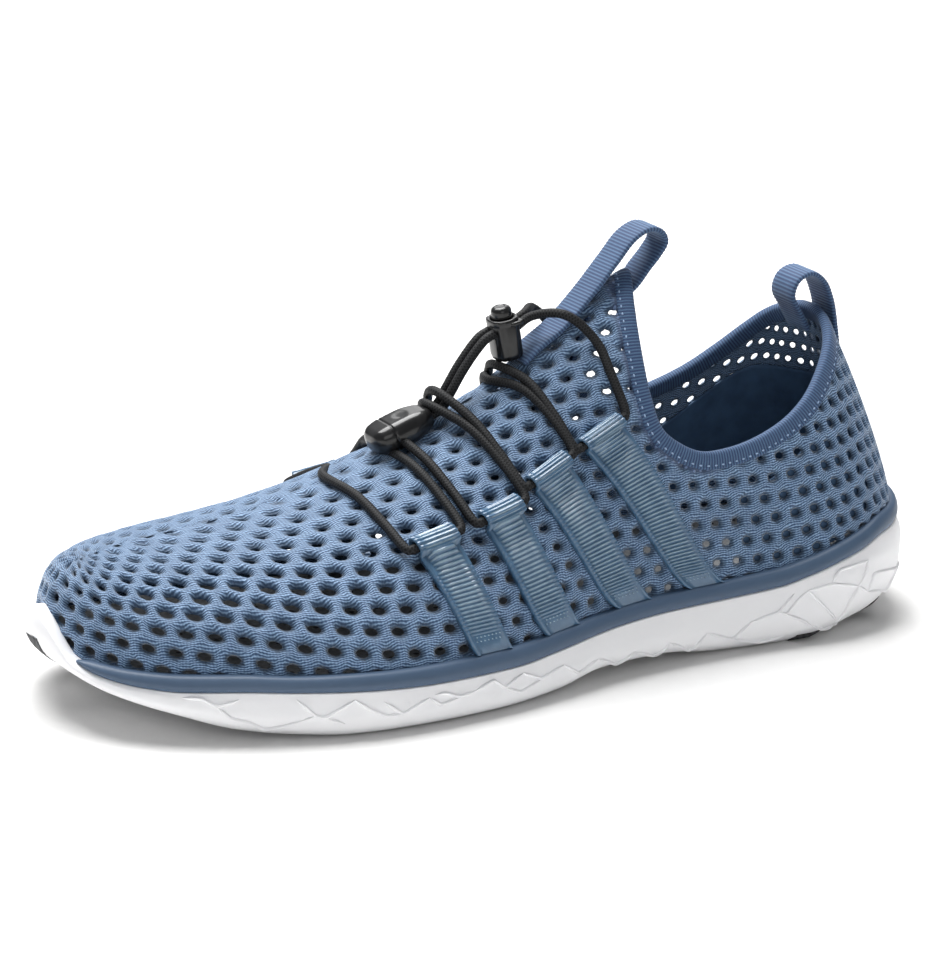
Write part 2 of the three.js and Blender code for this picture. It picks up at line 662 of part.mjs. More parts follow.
/** Line of the collar as [y, z] corners, moved into the upper by a step. */
function collarLine(inward) {
  const line = COLLAR.map((r) => [alongY(r.at), r.heel * HEEL_HEIGHT + r.peak * PEAK_HEIGHT]);
  return line.map(([y, z], i) => {
    const [y0, z0] = line[Math.max(0, i - 1)];
    const [y1, z1] = line[Math.min(line.length - 1, i + 1)];
    const length = Math.hypot(y1 - y0, z1 - z0);
    return [y - (inward * (z0 - z1)) / -length, z - (inward * (y0 - y1)) / length];
  });
}

/** Prism of everything over the collar line. */
function overCollar(inward) {
  const line = collarLine(inward);
  const top = PEAK_HEIGHT * 2;
  const back = LENGTH * 0.75;
  return sidePrism([...line, [line[line.length - 1][0], top], [back, top], [back, line[0][1]]], -BALL_WIDTH, BALL_WIDTH, COLLAR_TILT);
}

/** Layer between two steps over the upper's skin. */
function layer(inner, outer) {
  return lastForm(outer, -2).subtract(lastForm(inner, -4));
}

/** Upper: one hollow wall, open at the collar and underneath. */
function makeUpper() {
  return lastForm(0, CLEARANCE).subtract(lastForm(-UPPER_WALL, -6)).subtract(overCollar(BINDING_WIDTH + CLEARANCE));
}

/** Binding: the folded band along the collar, a step proud of the upper on both faces. */
function makeBinding() {
  const band = overCollar(BINDING_WIDTH).subtract(overCollar(0));
  return layer(-UPPER_WALL - BINDING_STEP, BINDING_STEP).intersect(band);
}

/** Rand: the coloured band that stands on the white side's ledge and holds the upper's margin. */
function makeRand() {
  const skin = new Skin();
  const order = [];
  const inBand = (k) => randTopZ(shareAt(RING[k].y)) - ledgeZ(shareAt(RING[k].y)) > CLEARANCE + 0.6;
  let first = STATIONS;
  while (first > 0 && !inBand(first)) first -= 1;
  let other = STATIONS;
  while (other > 0 && !inBand(innerIndex(other))) other -= 1;
  for (let i = first; i > 0; i -= 1) order.push(i);
  for (let i = 0; i <= other; i += 1) order.push(innerIndex(i));
  const shape = [
    { inset: RAND_LIP + 0.3, rise: 0 },
    { inset: RAND_LIP - 0.4, rise: 0.3 },
    { inset: RAND_LIP, rise: 0.7 },
    { inset: RAND_LIP + 0.9, rise: 1 },
    { inset: SIDE_WALL, rise: 1 },
    { inset: SIDE_WALL, rise: 0 },
  ];
  const rings = order.map((k) =>
    shape.map(({ inset, rise }) => {
      const at = shareAt(RING[k].y);
      const heel = heelShare(at);
      return ringPoint(k, inset + (inset < SIDE_WALL ? 0.9 * heel : 0), (share) =>
        lerp(ledgeZ(share) + CLEARANCE, randTopZ(share), rise),
      );
    }),
  );
  skin.walls(rings);
  skin.fan(rings[0], true);
  skin.fan(rings[rings.length - 1]);
  return skin.solid().subtract(lastForm(CLEARANCE, -4));
}

/** Insole laid on the footbed inside the upper. */
function makeInsole() {
  const skin = new Skin();
  const inset = SIDE_WALL + UPPER_WALL + 2.5 * CLEARANCE;
  const low = (at) => floorZ(at) + CLEARANCE;
  const high = (at) => floorZ(at) + CLEARANCE + INSOLE_THICKNESS;
  const rings = [ringOf(inset, low), ringOf(inset, high)];
  skin.walls(rings);
  skin.sheet(rings[0], low, true);
  skin.sheet(rings[1], high, false);
  return skin.solid();
}

/** Polygon of a pad as [x, y] corners, grown by a step. */
function padPolygon(table, grow) {
  const points = table.map((r) => [r.out * BALL_WIDTH, alongY(r.at)]);
  if (grow === 0) return points;
  const sense = Math.sign(signedArea(points));
  return points.map(([x, y], i) => {
    const [x0, y0] = points[(i + points.length - 1) % points.length];
    const [x1, y1] = points[(i + 1) % points.length];
    const a = new THREE.Vector2(x - x0, y - y0).normalize();
    const b = new THREE.Vector2(x1 - x, y1 - y).normalize();
    const normal = new THREE.Vector2(a.y + b.y, -a.x - b.x).normalize().multiplyScalar(sense);
    const stretch = 1 / Math.max(0.5, Math.abs(normal.x * a.y - normal.y * a.x));
    return [x + normal.x * grow * stretch, y + normal.y * grow * stretch];
  });
}

/** Drain holes as upright prisms with six sides. */
function drainCutters() {
  const cutters = [];
  for (const row of DRAINS) {
    for (let i = 0; i < row.count; i += 1) {
      const x = (row.first - row.pitch * i) * BALL_WIDTH;
      const y = alongY(row.at - row.skew * i);
      const [long, wide] = [(row.long * BALL_WIDTH) / 2, (row.wide * BALL_WIDTH) / 2];
      const corner = 0.62;
      const polygon = [
        [x + wide, y], [x + wide * corner, y + long], [x - wide * corner, y + long],
        [x - wide, y], [x - wide * corner, y - long], [x + wide * corner, y - long],
      ];
      cutters.push(floorPrism(polygon, -5, SIDE_HEIGHT * 2));
    }
  }
  return cutters;
}

/** Zigzag ribs raised on the white side. */
function sideRibs() {
  return RIBS.map((rib) => {
    const path = [];
    for (let c = 0; c < rib.corners; c += 1) {
      const at = lerp(rib.start, rib.end, c / (rib.corners - 1));
      const rise = c % 2 === 0 ? rib.high : rib.low;
      path.push(onSide(at, rise, rib.side));
    }
    return bar(path, RIB_RADIUS, 4);
  });
}

/** Point on the white side at a share of the length and of the rise. */
function onSide(at, rise, side) {
  let i = 0;
  const index = (k) => (side > 0 ? k : innerIndex(k));
  while (i < STATIONS - 1 && shareAt(RING[index(i + 1)].y) < at) i += 1;
  const [a, b] = [shareAt(RING[index(i)].y), shareAt(RING[index(i + 1)].y)];
  const rows = SIDE_PROFILE;
  let r = 0;
  while (r < rows.length - 2 && rows[r + 1].rise < rise) r += 1;
  const part = (rise - rows[r].rise) / (rows[r + 1].rise - rows[r].rise);
  const insetAt = (share) => {
    const of = (row) => lerp(lerp(row.middle, row.heel, heelShare(share)), row.toe, toeShare(share));
    return lerp(of(rows[r]), of(rows[r + 1]), part);
  };
  const point = (k) =>
    ringPoint(index(k), insetAt(shareAt(RING[index(k)].y)), (share) => lerp(bottomZ(share), ledgeZ(share), rise));
  return point(i).lerp(point(i + 1), clamp01((at - a) / (b - a)));
}

/** Midsole: footbed, drained bottom, side walls with ribs and the toe bumper. */
function makeMidsole() {
  let body = soleForm().subtract(lastForm(CLEARANCE, 0));
  body = body.add(Manifold.union(sideRibs()).subtract(lastForm(CLEARANCE, -4)).subtract(underFloor(0)));
  for (const table of [TOE_PAD, HEEL_PAD]) {
    body = body.subtract(padForm(table, CLEARANCE, PAD_THICKNESS + CLEARANCE));
  }
  return body.subtract(Manifold.union(drainCutters()));
}

/** Everything under the sole's bottom surface raised by a step. */
function underFloor(lift) {
  const skin = new Skin();
  const rings = [ringOf(-12, () => -20), ringOf(-12, (at) => bottomZ(at) + lift)];
  skin.walls(rings);
  skin.sheet(rings[0], () => -20, true);
  skin.sheet(rings[1], (at) => bottomZ(at) + lift, false);
  return skin.solid();
}

/** Slab of a pad, from the sole's bottom up to its thickness. */
function padForm(table, grow, thickness) {
  const prism = floorPrism(padPolygon(table, grow), -10, SIDE_HEIGHT);
  const under = underFloor(thickness);
  return grow > 0 ? prism.intersect(under) : prism.intersect(under).intersect(soleForm());
}

/** Strap: a band on the upper's skin with piped edges and a folded top that the lace runs through. */
function makeStrap(row, side) {
  const steps = 4;
  const start = 0.04;
  const reach = STRAP_WIDTH / 2 / LENGTH;
  const over = CLEARANCE + SEAT + STRAP_THICKNESS;
  const edges = [
    { across: -1, out: over + PIPING },
    { across: -0.76, out: over },
    { across: 0.76, out: over },
    { across: 1, out: over + PIPING },
    { across: 1, out: -0.4 },
    { across: -1, out: -0.4 },
  ];
  const skin = new Skin();
  const rings = [];
  for (let k = 0; k <= steps; k += 1) {
    const t = lerp(start, 1, k / steps);
    const at = lerp(row.foot, row.top, t);
    rings.push(edges.map((edge) => onUpper(at - edge.across * reach, row.climb * t, side, edge.out)));
  }
  skin.walls(rings);
  skin.fan(rings[0], true);
  skin.fan(rings[steps]);
  const bore = LACE_DIAMETER / 2 + LACE_PLAY;
  const through = (widen) =>
    [-1 - widen, 0, 1 + widen].map((w) => onUpper(row.top - w * reach, row.climb, side, LOOP_LIFT));
  const strap = skin.solid().add(bar(through(0), bore + LOOP_WALL, 6)).subtract(lastForm(CLEARANCE + SEAT, -4));
  return strap.subtract(bar(through(0.4), bore, 6));
}

/** Place beside a strap's folded top where the lace comes out: end is -1 at its front and 1 at its rear. */
function loopEnd(index, side, end, away) {
  const row = STRAPS[index];
  return onUpper(row.top - (end * (STRAP_WIDTH / 2 + away)) / LENGTH, row.climb, side, LOOP_LIFT);
}

/** Lace from one strap's folded top over the ridge to another on the other side. */
function lacePath(from, to, lift, pull) {
  const clear = CLEARANCE + SEAT + LACE_DIAMETER / 2 + lift;
  const rise = (end, side) => {
    const { top, climb } = STRAPS[end.strap];
    const at = top - (end.end * (STRAP_WIDTH / 2 + 3)) / LENGTH;
    return (t) => onUpper(lerp(at, middle, t), lerp(climb, 1, t), side, clear + 0.5 * (1 - t));
  };
  const place = (end) => STRAPS[end.strap].top - (end.end * STRAP_WIDTH) / 2 / LENGTH;
  const middle = (place(from) + place(to)) / 2 + pull;
  const [outer, inner] = [rise(from, 1), rise(to, -1)];
  return smoothPath(
    [
      loopEnd(from.strap, 1, from.end, CLEARANCE),
      loopEnd(from.strap, 1, from.end, 2.2),
      outer(0.25),
      outer(0.6),
      outer(1),
      inner(0.6),
      inner(0.25),
      loopEnd(to.strap, -1, to.end, 2.2),
      loopEnd(to.strap, -1, to.end, CLEARANCE),
    ],
    12,
  );
}

/** Round length of lace, laid clear of the upper. */
function lace(path, sides) {
  return bar(path, LACE_DIAMETER / 2, sides).subtract(lastForm(CLEARANCE, -4));
}

const laceBar = (path) => lace(path, LACE_SIDES);
const cordBar = (path) => lace(path, CORD_SIDES);

/** Crossing of the lace between two pairs of straps, one solid. */
function makeCrossing({ front, pull }) {
  const rear = { strap: front, end: 1 };
  const next = { strap: front + 1, end: -1 };
  return laceBar(lacePath(rear, next, 0, pull)).add(laceBar(lacePath(next, rear, 0.3, pull)));
}

/** Strip of webbing along a path in the side view, across the shoe's middle. */
function webbing(rows, width, across) {
  const path = smoothPath(
    rows.map((r) => new THREE.Vector3(0, alongY(r.at), r.height * PEAK_HEIGHT)),
    2 * (rows.length - 1),
  );
  const half = WEBBING_THICKNESS / 2;
  const edge = (sign) =>
    path.map((p, i) => {
      const ahead = path[Math.min(i + 1, path.length - 1)];
      const behind = path[Math.max(i - 1, 0)];
      const run = Math.hypot(ahead.y - behind.y, ahead.z - behind.z);
      return [p.y - (sign * half * (ahead.z - behind.z)) / run, p.z + (sign * half * (ahead.y - behind.y)) / run];
    });
  const middle = across * BALL_WIDTH;
  return sidePrism([...edge(1), ...edge(-1).reverse()], middle - width / 2, middle + width / 2);
}

/** Loop at the front peak, clear of the upper and its binding. */
function makeFrontLoop() {
  const body = layer(-UPPER_WALL - BINDING_STEP - CLEARANCE, BINDING_STEP + CLEARANCE).subtract(overCollar(-CLEARANCE));
  return webbing(FRONT_LOOP, FRONT_WEBBING_WIDTH, -0.018).subtract(body);
}

/** Loop at the back of the collar. */
function makeHeelLoop() {
  const body = layer(-UPPER_WALL - BINDING_STEP - CLEARANCE, BINDING_STEP + CLEARANCE).subtract(overCollar(-CLEARANCE));
  return webbing(HEEL_LOOP, HEEL_WEBBING_WIDTH, -0.045).subtract(body);
}

/** Placement on a seat: height along the seat's own axis, which leans towards the toe by an angle in degrees. */
function seatMatrix({ at, height, across, lean }) {
  const turn = new THREE.Matrix4().makeRotationX(THREE.MathUtils.degToRad(lean));
  return turn.setPosition(across * BALL_WIDTH, alongY(at), height * PEAK_HEIGHT);
}

const LOCK = seatMatrix(LOCK_SEAT);
const CLIP = seatMatrix(CLIP_SEAT);
const PORT_HEIGHT = LOCK_HEIGHT * 0.72;
const PORT_SPREAD = LACE_DIAMETER / 2 + LACE_PLAY;

/** Barrel of the cord lock: a cup with two ports for the cords. */
function makeLockBarrel() {
  const radius = LOCK_DIAMETER / 2;
  const body = turned([[radius * 0.82, 0], [radius, 1], [radius, LOCK_HEIGHT - 0.8], [radius * 0.92, LOCK_HEIGHT]], 10, LOCK);
  const bore = PLUNGER_DIAMETER / 2 + CLEARANCE;
  const cavity = turned([[bore, LOCK_HEIGHT - PLUNGER_DEPTH - PLUNGER_TRAVEL - 2 * CLEARANCE], [bore, LOCK_HEIGHT + 1]], 10, LOCK);
  const ports = [-1, 1].map((side) => {
    const reach = radius + 1;
    const at = (y) => new THREE.Vector3(side * PORT_SPREAD, y, PORT_HEIGHT).applyMatrix4(LOCK);
    return bar([at(-reach), at(reach)], LACE_DIAMETER / 2 + LACE_PLAY, 8);
  });
  return body.subtract(cavity).subtract(Manifold.union(ports));
}

/** Plunger of the cord lock with its button, held up by the spring below it. */
function makeLockPlunger() {
  const stem = PLUNGER_DIAMETER / 2;
  const rows = [
    [stem, LOCK_HEIGHT - PLUNGER_DEPTH],
    [stem, LOCK_HEIGHT + PLUNGER_TRAVEL - 0.6],
    [stem * 0.94, LOCK_HEIGHT + PLUNGER_TRAVEL + 0.2],
    [stem * 0.7, LOCK_HEIGHT + PLUNGER_TRAVEL + BUTTON_CROWN],
  ];
  const slotLow = LOCK_HEIGHT - PLUNGER_DEPTH - 1;
  const slot = [-1, 1].map((side) => {
    const at = (y) => new THREE.Vector3(side * PORT_SPREAD, y, PORT_HEIGHT).applyMatrix4(LOCK);
    return bar([at(-stem - 1), at(stem + 1)], LACE_DIAMETER / 2 + LACE_PLAY, 8);
  });
  return slotLow > 0 ? turned(rows, 10, LOCK).subtract(Manifold.union(slot)) : turned(rows, 10, LOCK);
}

/** Clip on the ends of the lace: a flattened pod with a seam round its front third. */
function makeEndClip() {
  const shape = [
    { along: -0.5, thick: 0.42 }, { along: -0.46, thick: 0.7 }, { along: -0.36, thick: 0.92 }, { along: -0.2, thick: 1 },
    { along: -0.185, thick: 0.94 }, { along: -0.17, thick: 1 }, { along: 0.1, thick: 0.98 }, { along: 0.32, thick: 0.84 },
    { along: 0.44, thick: 0.66 }, { along: 0.5, thick: 0.48 },
  ];
  const skin = new Skin();
  const sides = 10;
  const rings = shape.map(({ along, thick }) => {
    const ring = [];
    for (let k = 0; k < sides; k += 1) {
      const turn = (2 * Math.PI * (k + 0.5)) / sides;
      ring.push(
        new THREE.Vector3(
          (CLIP_WIDTH / 2) * thick * Math.cos(turn),
          along * CLIP_LENGTH,
          (CLIP_THICKNESS / 2) * thick * Math.sin(turn),
        ).applyMatrix4(CLIP),
      );
    }
    return ring;
  });
  skin.walls(rings);
  skin.fan(rings[0], true);
  skin.fan(rings[rings.length - 1]);
  const groove = lacePath({ strap: 0, end: 1 }, { strap: 1, end: -1 }, 0, CROSSINGS[0].pull);
  const other = lacePath({ strap: 1, end: -1 }, { strap: 0, end: 1 }, 0.3, CROSSINGS[0].pull);
  const clear = LACE_DIAMETER / 2 + CLEARANCE;
  return skin.solid().subtract(bar(groove, clear, 6)).subtract(bar(other, clear, 6)).subtract(lastForm(CLEARANCE, -4));
}

/** Cord from the last strap's folded top up to the lock. */
function lockCord(side) {
  const port = new THREE.Vector3(side * PORT_SPREAD, LOCK_DIAMETER / 2 + CLEARANCE, PORT_HEIGHT).applyMatrix4(LOCK);
  const before = new THREE.Vector3(side * PORT_SPREAD * 1.1, LOCK_DIAMETER / 2 + 4, PORT_HEIGHT + 1.6).applyMatrix4(LOCK);
  const row = STRAPS[3];
  const at = row.top - (STRAP_WIDTH / 2 + 1) / LENGTH;
  return cordBar(
    smoothPath(
      [
        loopEnd(3, side, 1, CLEARANCE),
        loopEnd(3, side, 1, 1.6),
        onUpper(at + 0.002, lerp(row.climb, 1, 0.24), side, 2.2),
        onUpper(at + 0.008, lerp(row.climb, 1, 0.5), side, 2.6),
        onUpper(at + 0.024, lerp(row.climb, 1, 0.76), side, 8.8),
        before,
        port,
      ],
      9,
    ),
  );
}

/** Cord from the lock down to the end clip. */
function tailCord(side) {
  const port = new THREE.Vector3(side * PORT_SPREAD, -LOCK_DIAMETER / 2 - CLEARANCE, PORT_HEIGHT).applyMatrix4(LOCK);
  const after = new THREE.Vector3(side * PORT_SPREAD, -LOCK_DIAMETER / 2 - 3, PORT_HEIGHT - 1).applyMatrix4(LOCK);
  const end = new THREE.Vector3(side * PORT_SPREAD, CLIP_LENGTH / 2 + CLEARANCE, 0).applyMatrix4(CLIP);
  const before = new THREE.Vector3(side * PORT_SPREAD, CLIP_LENGTH / 2 + 4, 0.6).applyMatrix4(CLIP);
  const drop = (t, out) => new THREE.Vector3().lerpVectors(after, before, t).add(new THREE.Vector3(0, 0, out));
  return cordBar(smoothPath([port, after, drop(0.45, 1.5), drop(0.8, 0.6), before, end], 6));
}

const MATERIALS = {
  mesh: { color: 0x41668f, roughness: 0.85 },
  binding: { color: 0x4d5f8d, roughness: 0.8 },
  rand: { color: 0x55678c, roughness: 0.5 },
  foam: { color: 0xf1f1f2, roughness: 0.6 },
  rubber: { color: 0x3a3b3d, roughness: 0.75 },
  insole: { color: 0x8b8d90, roughness: 0.9 },
  strap: { color: 0x3c6a90, roughness: 0.35 },
  lace: { color: 0x1d1e20, roughness: 0.6 },
  plastic: { color: 0x1b1b1d, roughness: 0.4 },
};

const materials = Object.fromEntries(
  Object.entries(MATERIALS).map(([name, look]) => [name, new THREE.MeshStandardMaterial({ metalness: 0, ...look })]),
);

/** Named mesh of a solid. */
function part(name, solid, finish) {
  const mesh = solid.getMesh();
  const geometry = new THREE.BufferGeometry();
  geometry.setAttribute('position', new THREE.BufferAttribute(new Float32Array(mesh.vertProperties), 3));
  geometry.setIndex(new THREE.BufferAttribute(new Uint32Array(mesh.triVerts), 1));
  geometry.computeVertexNormals();
  const object = new THREE.Mesh(geometry, materials[finish]);
  object.name = name;
  return object;
}

const shoe = new THREE.Group();
shoe.name = 'water_shoe_left';
shoe.add(part('midsole', makeMidsole(), 'foam'));
shoe.add(part('outsole_toe_pad', padForm(TOE_PAD, 0, PAD_THICKNESS), 'rubber'));
shoe.add(part('outsole_heel_pad', padForm(HEEL_PAD, 0, PAD_THICKNESS), 'rubber'));
shoe.add(part('rand', makeRand(), 'rand'));
shoe.add(part('insole', makeInsole(), 'insole'));
shoe.add(part('upper', makeUpper(), 'mesh'));
shoe.add(part('collar_binding', makeBinding(), 'binding'));
STRAPS.forEach((row, i) => {
  shoe.add(part(`strap_lateral_${i + 1}`, makeStrap(row, 1), 'strap'));
  shoe.add(part(`strap_medial_${i + 1}`, makeStrap(row, -1), 'strap'));
});
const frontEnd = { strap: 0, end: -1 };
shoe.add(part('lace_front_bar', laceBar(lacePath(frontEnd, frontEnd, 0, 0)), 'lace'));
CROSSINGS.forEach((row) => shoe.add(part(`lace_cross_${row.name}`, makeCrossing(row), 'lace')));
shoe.add(part('lace_end_lateral', lockCord(1), 'lace'));
shoe.add(part('lace_end_medial', lockCord(-1), 'lace'));
shoe.add(part('lace_tail_lateral', tailCord(1), 'lace'));
shoe.add(part('lace_tail_medial', tailCord(-1), 'lace'));
shoe.add(part('cord_lock_barrel', makeLockBarrel(), 'plastic'));
shoe.add(part('cord_lock_plunger', makeLockPlunger(), 'plastic'));
shoe.add(part('cord_end_clip', makeEndClip(), 'plastic'));
shoe.add(part('front_pull_loop', makeFrontLoop(), 'binding'));
shoe.add(part('heel_pull_loop', makeHeelLoop(), 'binding'));

export default shoe;
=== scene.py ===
"""Looks of the left water shoe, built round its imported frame.

Lengths are millimetres until a mesh is made; meshes are in metres, toe to -Y, outer side to +X.
"""

import json
import logging
import math
from dataclasses import dataclass, field
from enum import Enum
from typing import Callable, Optional, Sequence, Union

import bmesh
import bpy
import numpy as np
from mathutils import Matrix, Vector
from mathutils.geometry import delaunay_2d_cdt
from mathutils.kdtree import KDTree

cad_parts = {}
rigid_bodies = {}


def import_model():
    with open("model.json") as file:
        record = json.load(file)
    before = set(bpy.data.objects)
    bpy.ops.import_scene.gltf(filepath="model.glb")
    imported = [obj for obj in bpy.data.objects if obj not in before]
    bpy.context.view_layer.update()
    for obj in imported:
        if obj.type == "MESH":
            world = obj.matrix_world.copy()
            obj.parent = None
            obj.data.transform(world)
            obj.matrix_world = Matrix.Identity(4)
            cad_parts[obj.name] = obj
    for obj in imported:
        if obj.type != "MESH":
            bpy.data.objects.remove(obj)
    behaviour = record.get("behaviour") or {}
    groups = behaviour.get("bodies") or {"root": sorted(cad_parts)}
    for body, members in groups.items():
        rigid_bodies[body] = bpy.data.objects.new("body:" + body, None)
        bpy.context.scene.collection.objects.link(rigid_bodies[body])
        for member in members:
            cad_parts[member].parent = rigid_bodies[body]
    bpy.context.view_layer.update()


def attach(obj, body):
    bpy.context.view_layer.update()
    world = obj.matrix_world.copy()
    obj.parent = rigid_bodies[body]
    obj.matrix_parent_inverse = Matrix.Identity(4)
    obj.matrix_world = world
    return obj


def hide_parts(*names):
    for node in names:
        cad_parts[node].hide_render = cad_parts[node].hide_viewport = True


log = logging.getLogger("water_shoe")
Array = np.ndarray
MM = 0.001

LENGTH = 290.0
BALL_WIDTH = 112.0
TOE_SPRING = 25.0
SIDE_HEIGHT = 30.5
RAND_HEIGHT = 5.2
BUMPER_HEIGHT = 33.5
PEAK_HEIGHT = 118.0
TOE_BOX_HEIGHT = 44.6
HEEL_HEIGHT = 95.0
HEEL_SETBACK = 44.0
FLOOR_HEIGHT = 16.0
CLEARANCE = 0.3
SIDE_WALL = 4.5
RAND_LIP = 1.0
UPPER_WALL = 1.8
STRAP_THICKNESS = 1.5
SEAT = 0.15
STRAP_WIDTH = 13.0
LACE_DIAMETER = 2.8
LACE_PLAY = 0.35
LOOP_WALL = 1.0
LOOP_LIFT = CLEARANCE + SEAT + LOOP_WALL + LACE_DIAMETER / 2 + LACE_PLAY
COLLAR_TILT = -0.06

Row = tuple[float, ...]


class Table:
    """Rows of shares, read along a smooth curve without overshoot."""

    def __init__(self, names: Sequence[str], rows: Sequence[Row]) -> None:
        """Keeps the rows; the first column is the share of the length from the heel.

        Args:
            names: Names of the columns after the first.
            rows: The rows in rising order.
        """
        self.at = np.array([row[0] for row in rows])
        self.columns = {name: np.array([row[i + 1] for row in rows]) for i, name in enumerate(names)}

    def read(self, name: str, at: Array) -> Array:
        """Value of one column.

        Args:
            name: The column.
            at: Shares of the length.

        Returns:
            The values, of the same form as at.
        """
        x, y = self.at, self.columns[name]
        slope = np.diff(y) / np.diff(x)
        inner = np.where(slope[:-1] * slope[1:] > 0, 2 * slope[:-1] * slope[1:] / (slope[:-1] + slope[1:] + 1e-30), 0)
        tangent = np.concatenate([[slope[0]], inner, [slope[-1]]])
        place = np.clip(at, x[0], x[-1])
        i = np.clip(np.searchsorted(x, place, side="right") - 1, 0, len(x) - 2)
        span = x[i + 1] - x[i]
        t = (place - x[i]) / span
        return (
            (2 * t**3 - 3 * t**2 + 1) * y[i]
            + (t**3 - 2 * t**2 + t) * span * tangent[i]
            + (3 * t**2 - 2 * t**3) * y[i + 1]
            + (t**3 - t**2) * span * tangent[i + 1]
        )


OUTLINE = (
    (0.0, -0.036, 0.036), (0.009, 0.088, 0.179), (0.028, 0.186, 0.257), (0.055, 0.264, 0.349),
    (0.093, 0.321, 0.403), (0.145, 0.353, 0.428), (0.207, 0.35, 0.424), (0.276, 0.348, 0.391),
    (0.345, 0.359, 0.352), (0.421, 0.385, 0.349), (0.503, 0.439, 0.385), (0.579, 0.482, 0.442),
    (0.655, 0.5, 0.487), (0.731, 0.493, 0.5), (0.807, 0.444, 0.483), (0.876, 0.373, 0.43),
    (0.924, 0.303, 0.371), (0.959, 0.222, 0.293), (0.981, 0.132, 0.205), (0.995, 0.03, 0.109),
    (1.0, -0.042, 0.042),
)
HEIGHTS = Table(
    ("lift", "ledge", "rand", "floor"),
    (
        (0.0, 0.26, 1.0, 1.05, 1.0), (0.03, 0.15, 0.99, 1.05, 0.98), (0.08, 0.115, 0.965, 1.05, 0.96),
        (0.115, 0.1, 0.87, 1.02, 0.94), (0.15, 0.04, 0.79, 0.95, 0.93), (0.18, 0.0, 0.71, 0.95, 0.92),
        (0.22, 0.0, 0.63, 0.98, 0.9), (0.29, 0.025, 0.59, 0.95, 0.88), (0.36, 0.12, 0.575, 0.95, 0.84),
        (0.44, 0.13, 0.53, 0.95, 0.78), (0.5, 0.03, 0.475, 1.0, 0.7), (0.56, 0.0, 0.43, 1.04, 0.64),
        (0.65, 0.0, 0.43, 0.98, 0.61), (0.74, 0.0, 0.46, 0.88, 0.61), (0.8, 0.045, 0.485, 0.8, 0.65),
        (0.85, 0.12, 0.505, 0.84, 0.72), (0.9, 0.28, 0.5, 0.85, 0.84), (0.935, 0.4, 0.525, 0.78, 0.97),
        (0.965, 0.53, 0.585, 0.6, 1.1), (0.985, 0.68, 0.72, 0.15, 1.22), (1.0, 0.86, 0.88, 0.0, 1.34),
    ),
)
SIDE_PROFILE = (
    (0.0, 5.0, 8.5, 5.0), (0.1, 2.4, 5.0, 2.4), (0.25, 0.7, 2.2, 0.8),
    (0.5, 0.0, 0.3, 0.0), (0.75, 0.5, 0.0, 0.4), (1.0, 1.3, 2.0, 1.4),
)
RIDGE = Table(
    ("height", "shift"),
    (
        (0.15, 0.99, 0.045), (0.24, 0.985, 0.035), (0.32, 0.96, 0.02), (0.355, 0.928, 0.015),
        (0.38, 0.885, 0.015), (0.42, 0.812, 0.02), (0.46, 0.742, 0.03), (0.5, 0.672, 0.035),
        (0.56, 0.595, 0.045), (0.62, 0.53, 0.06), (0.69, 0.461, 0.075), (0.76, 0.417, 0.085),
        (0.83, 0.394, 0.085), (0.9, 0.378, 0.075), (0.945, 0.36, 0.06),
    ),
)
FULLNESS = Table(
    ("crown", "wall"),
    (
        (0.0, 1.2, 1.15), (0.1, 1.3, 1.25), (0.25, 1.45, 1.35), (0.4, 1.6, 1.35), (0.5, 1.7, 1.4),
        (0.65, 1.9, 1.6), (0.8, 2.1, 1.9), (0.9, 2.3, 2.1), (1.0, 2.5, 2.2),
    ),
)
COLLAR = (
    (0.04, 1.1, 0.0), (0.09, 1.005, 0.0), (0.115, 0.93, 0.0), (0.14, 0.85, 0.0), (0.165, 0.78, 0.0),
    (0.195, 0.72, 0.0), (0.23, 0.68, 0.0), (0.265, 0.66, 0.0), (0.3, 0.662, 0.0), (0.326, 0.5, 0.16),
    (0.344, 0.25, 0.4), (0.352, 0.0, 0.68), (0.353, 0.0, 0.77), (0.35, 0.0, 0.85), (0.344, 0.0, 0.91),
    (0.325, 0.0, 1.0),
)
STRAPS = ((0.625, 0.584, 0.497), (0.546, 0.493, 0.494), (0.482, 0.398, 0.524), (0.417, 0.306, 0.527))
CROSSINGS = (("low", 0, 0.024), ("mid", 1, 0.022), ("top", 2, 0.04))
FRONT_LOOP = (
    (0.466, 0.742), (0.449, 0.776), (0.42, 0.825), (0.388, 0.902), (0.362, 0.975), (0.34, 1.035), (0.321, 1.055), (0.307, 1.042),
    (0.303, 1.018), (0.311, 0.985), (0.323, 0.952), (0.335, 0.916), (0.347, 0.892), (0.36, 0.872),
)
HEEL_LOOP = (
    (0.074, 0.66), (0.0795, 0.735), (0.086, 0.805), (0.097, 0.86), (0.113, 0.885), (0.13, 0.87),
    (0.136, 0.83), (0.126, 0.785), (0.114, 0.735),
)
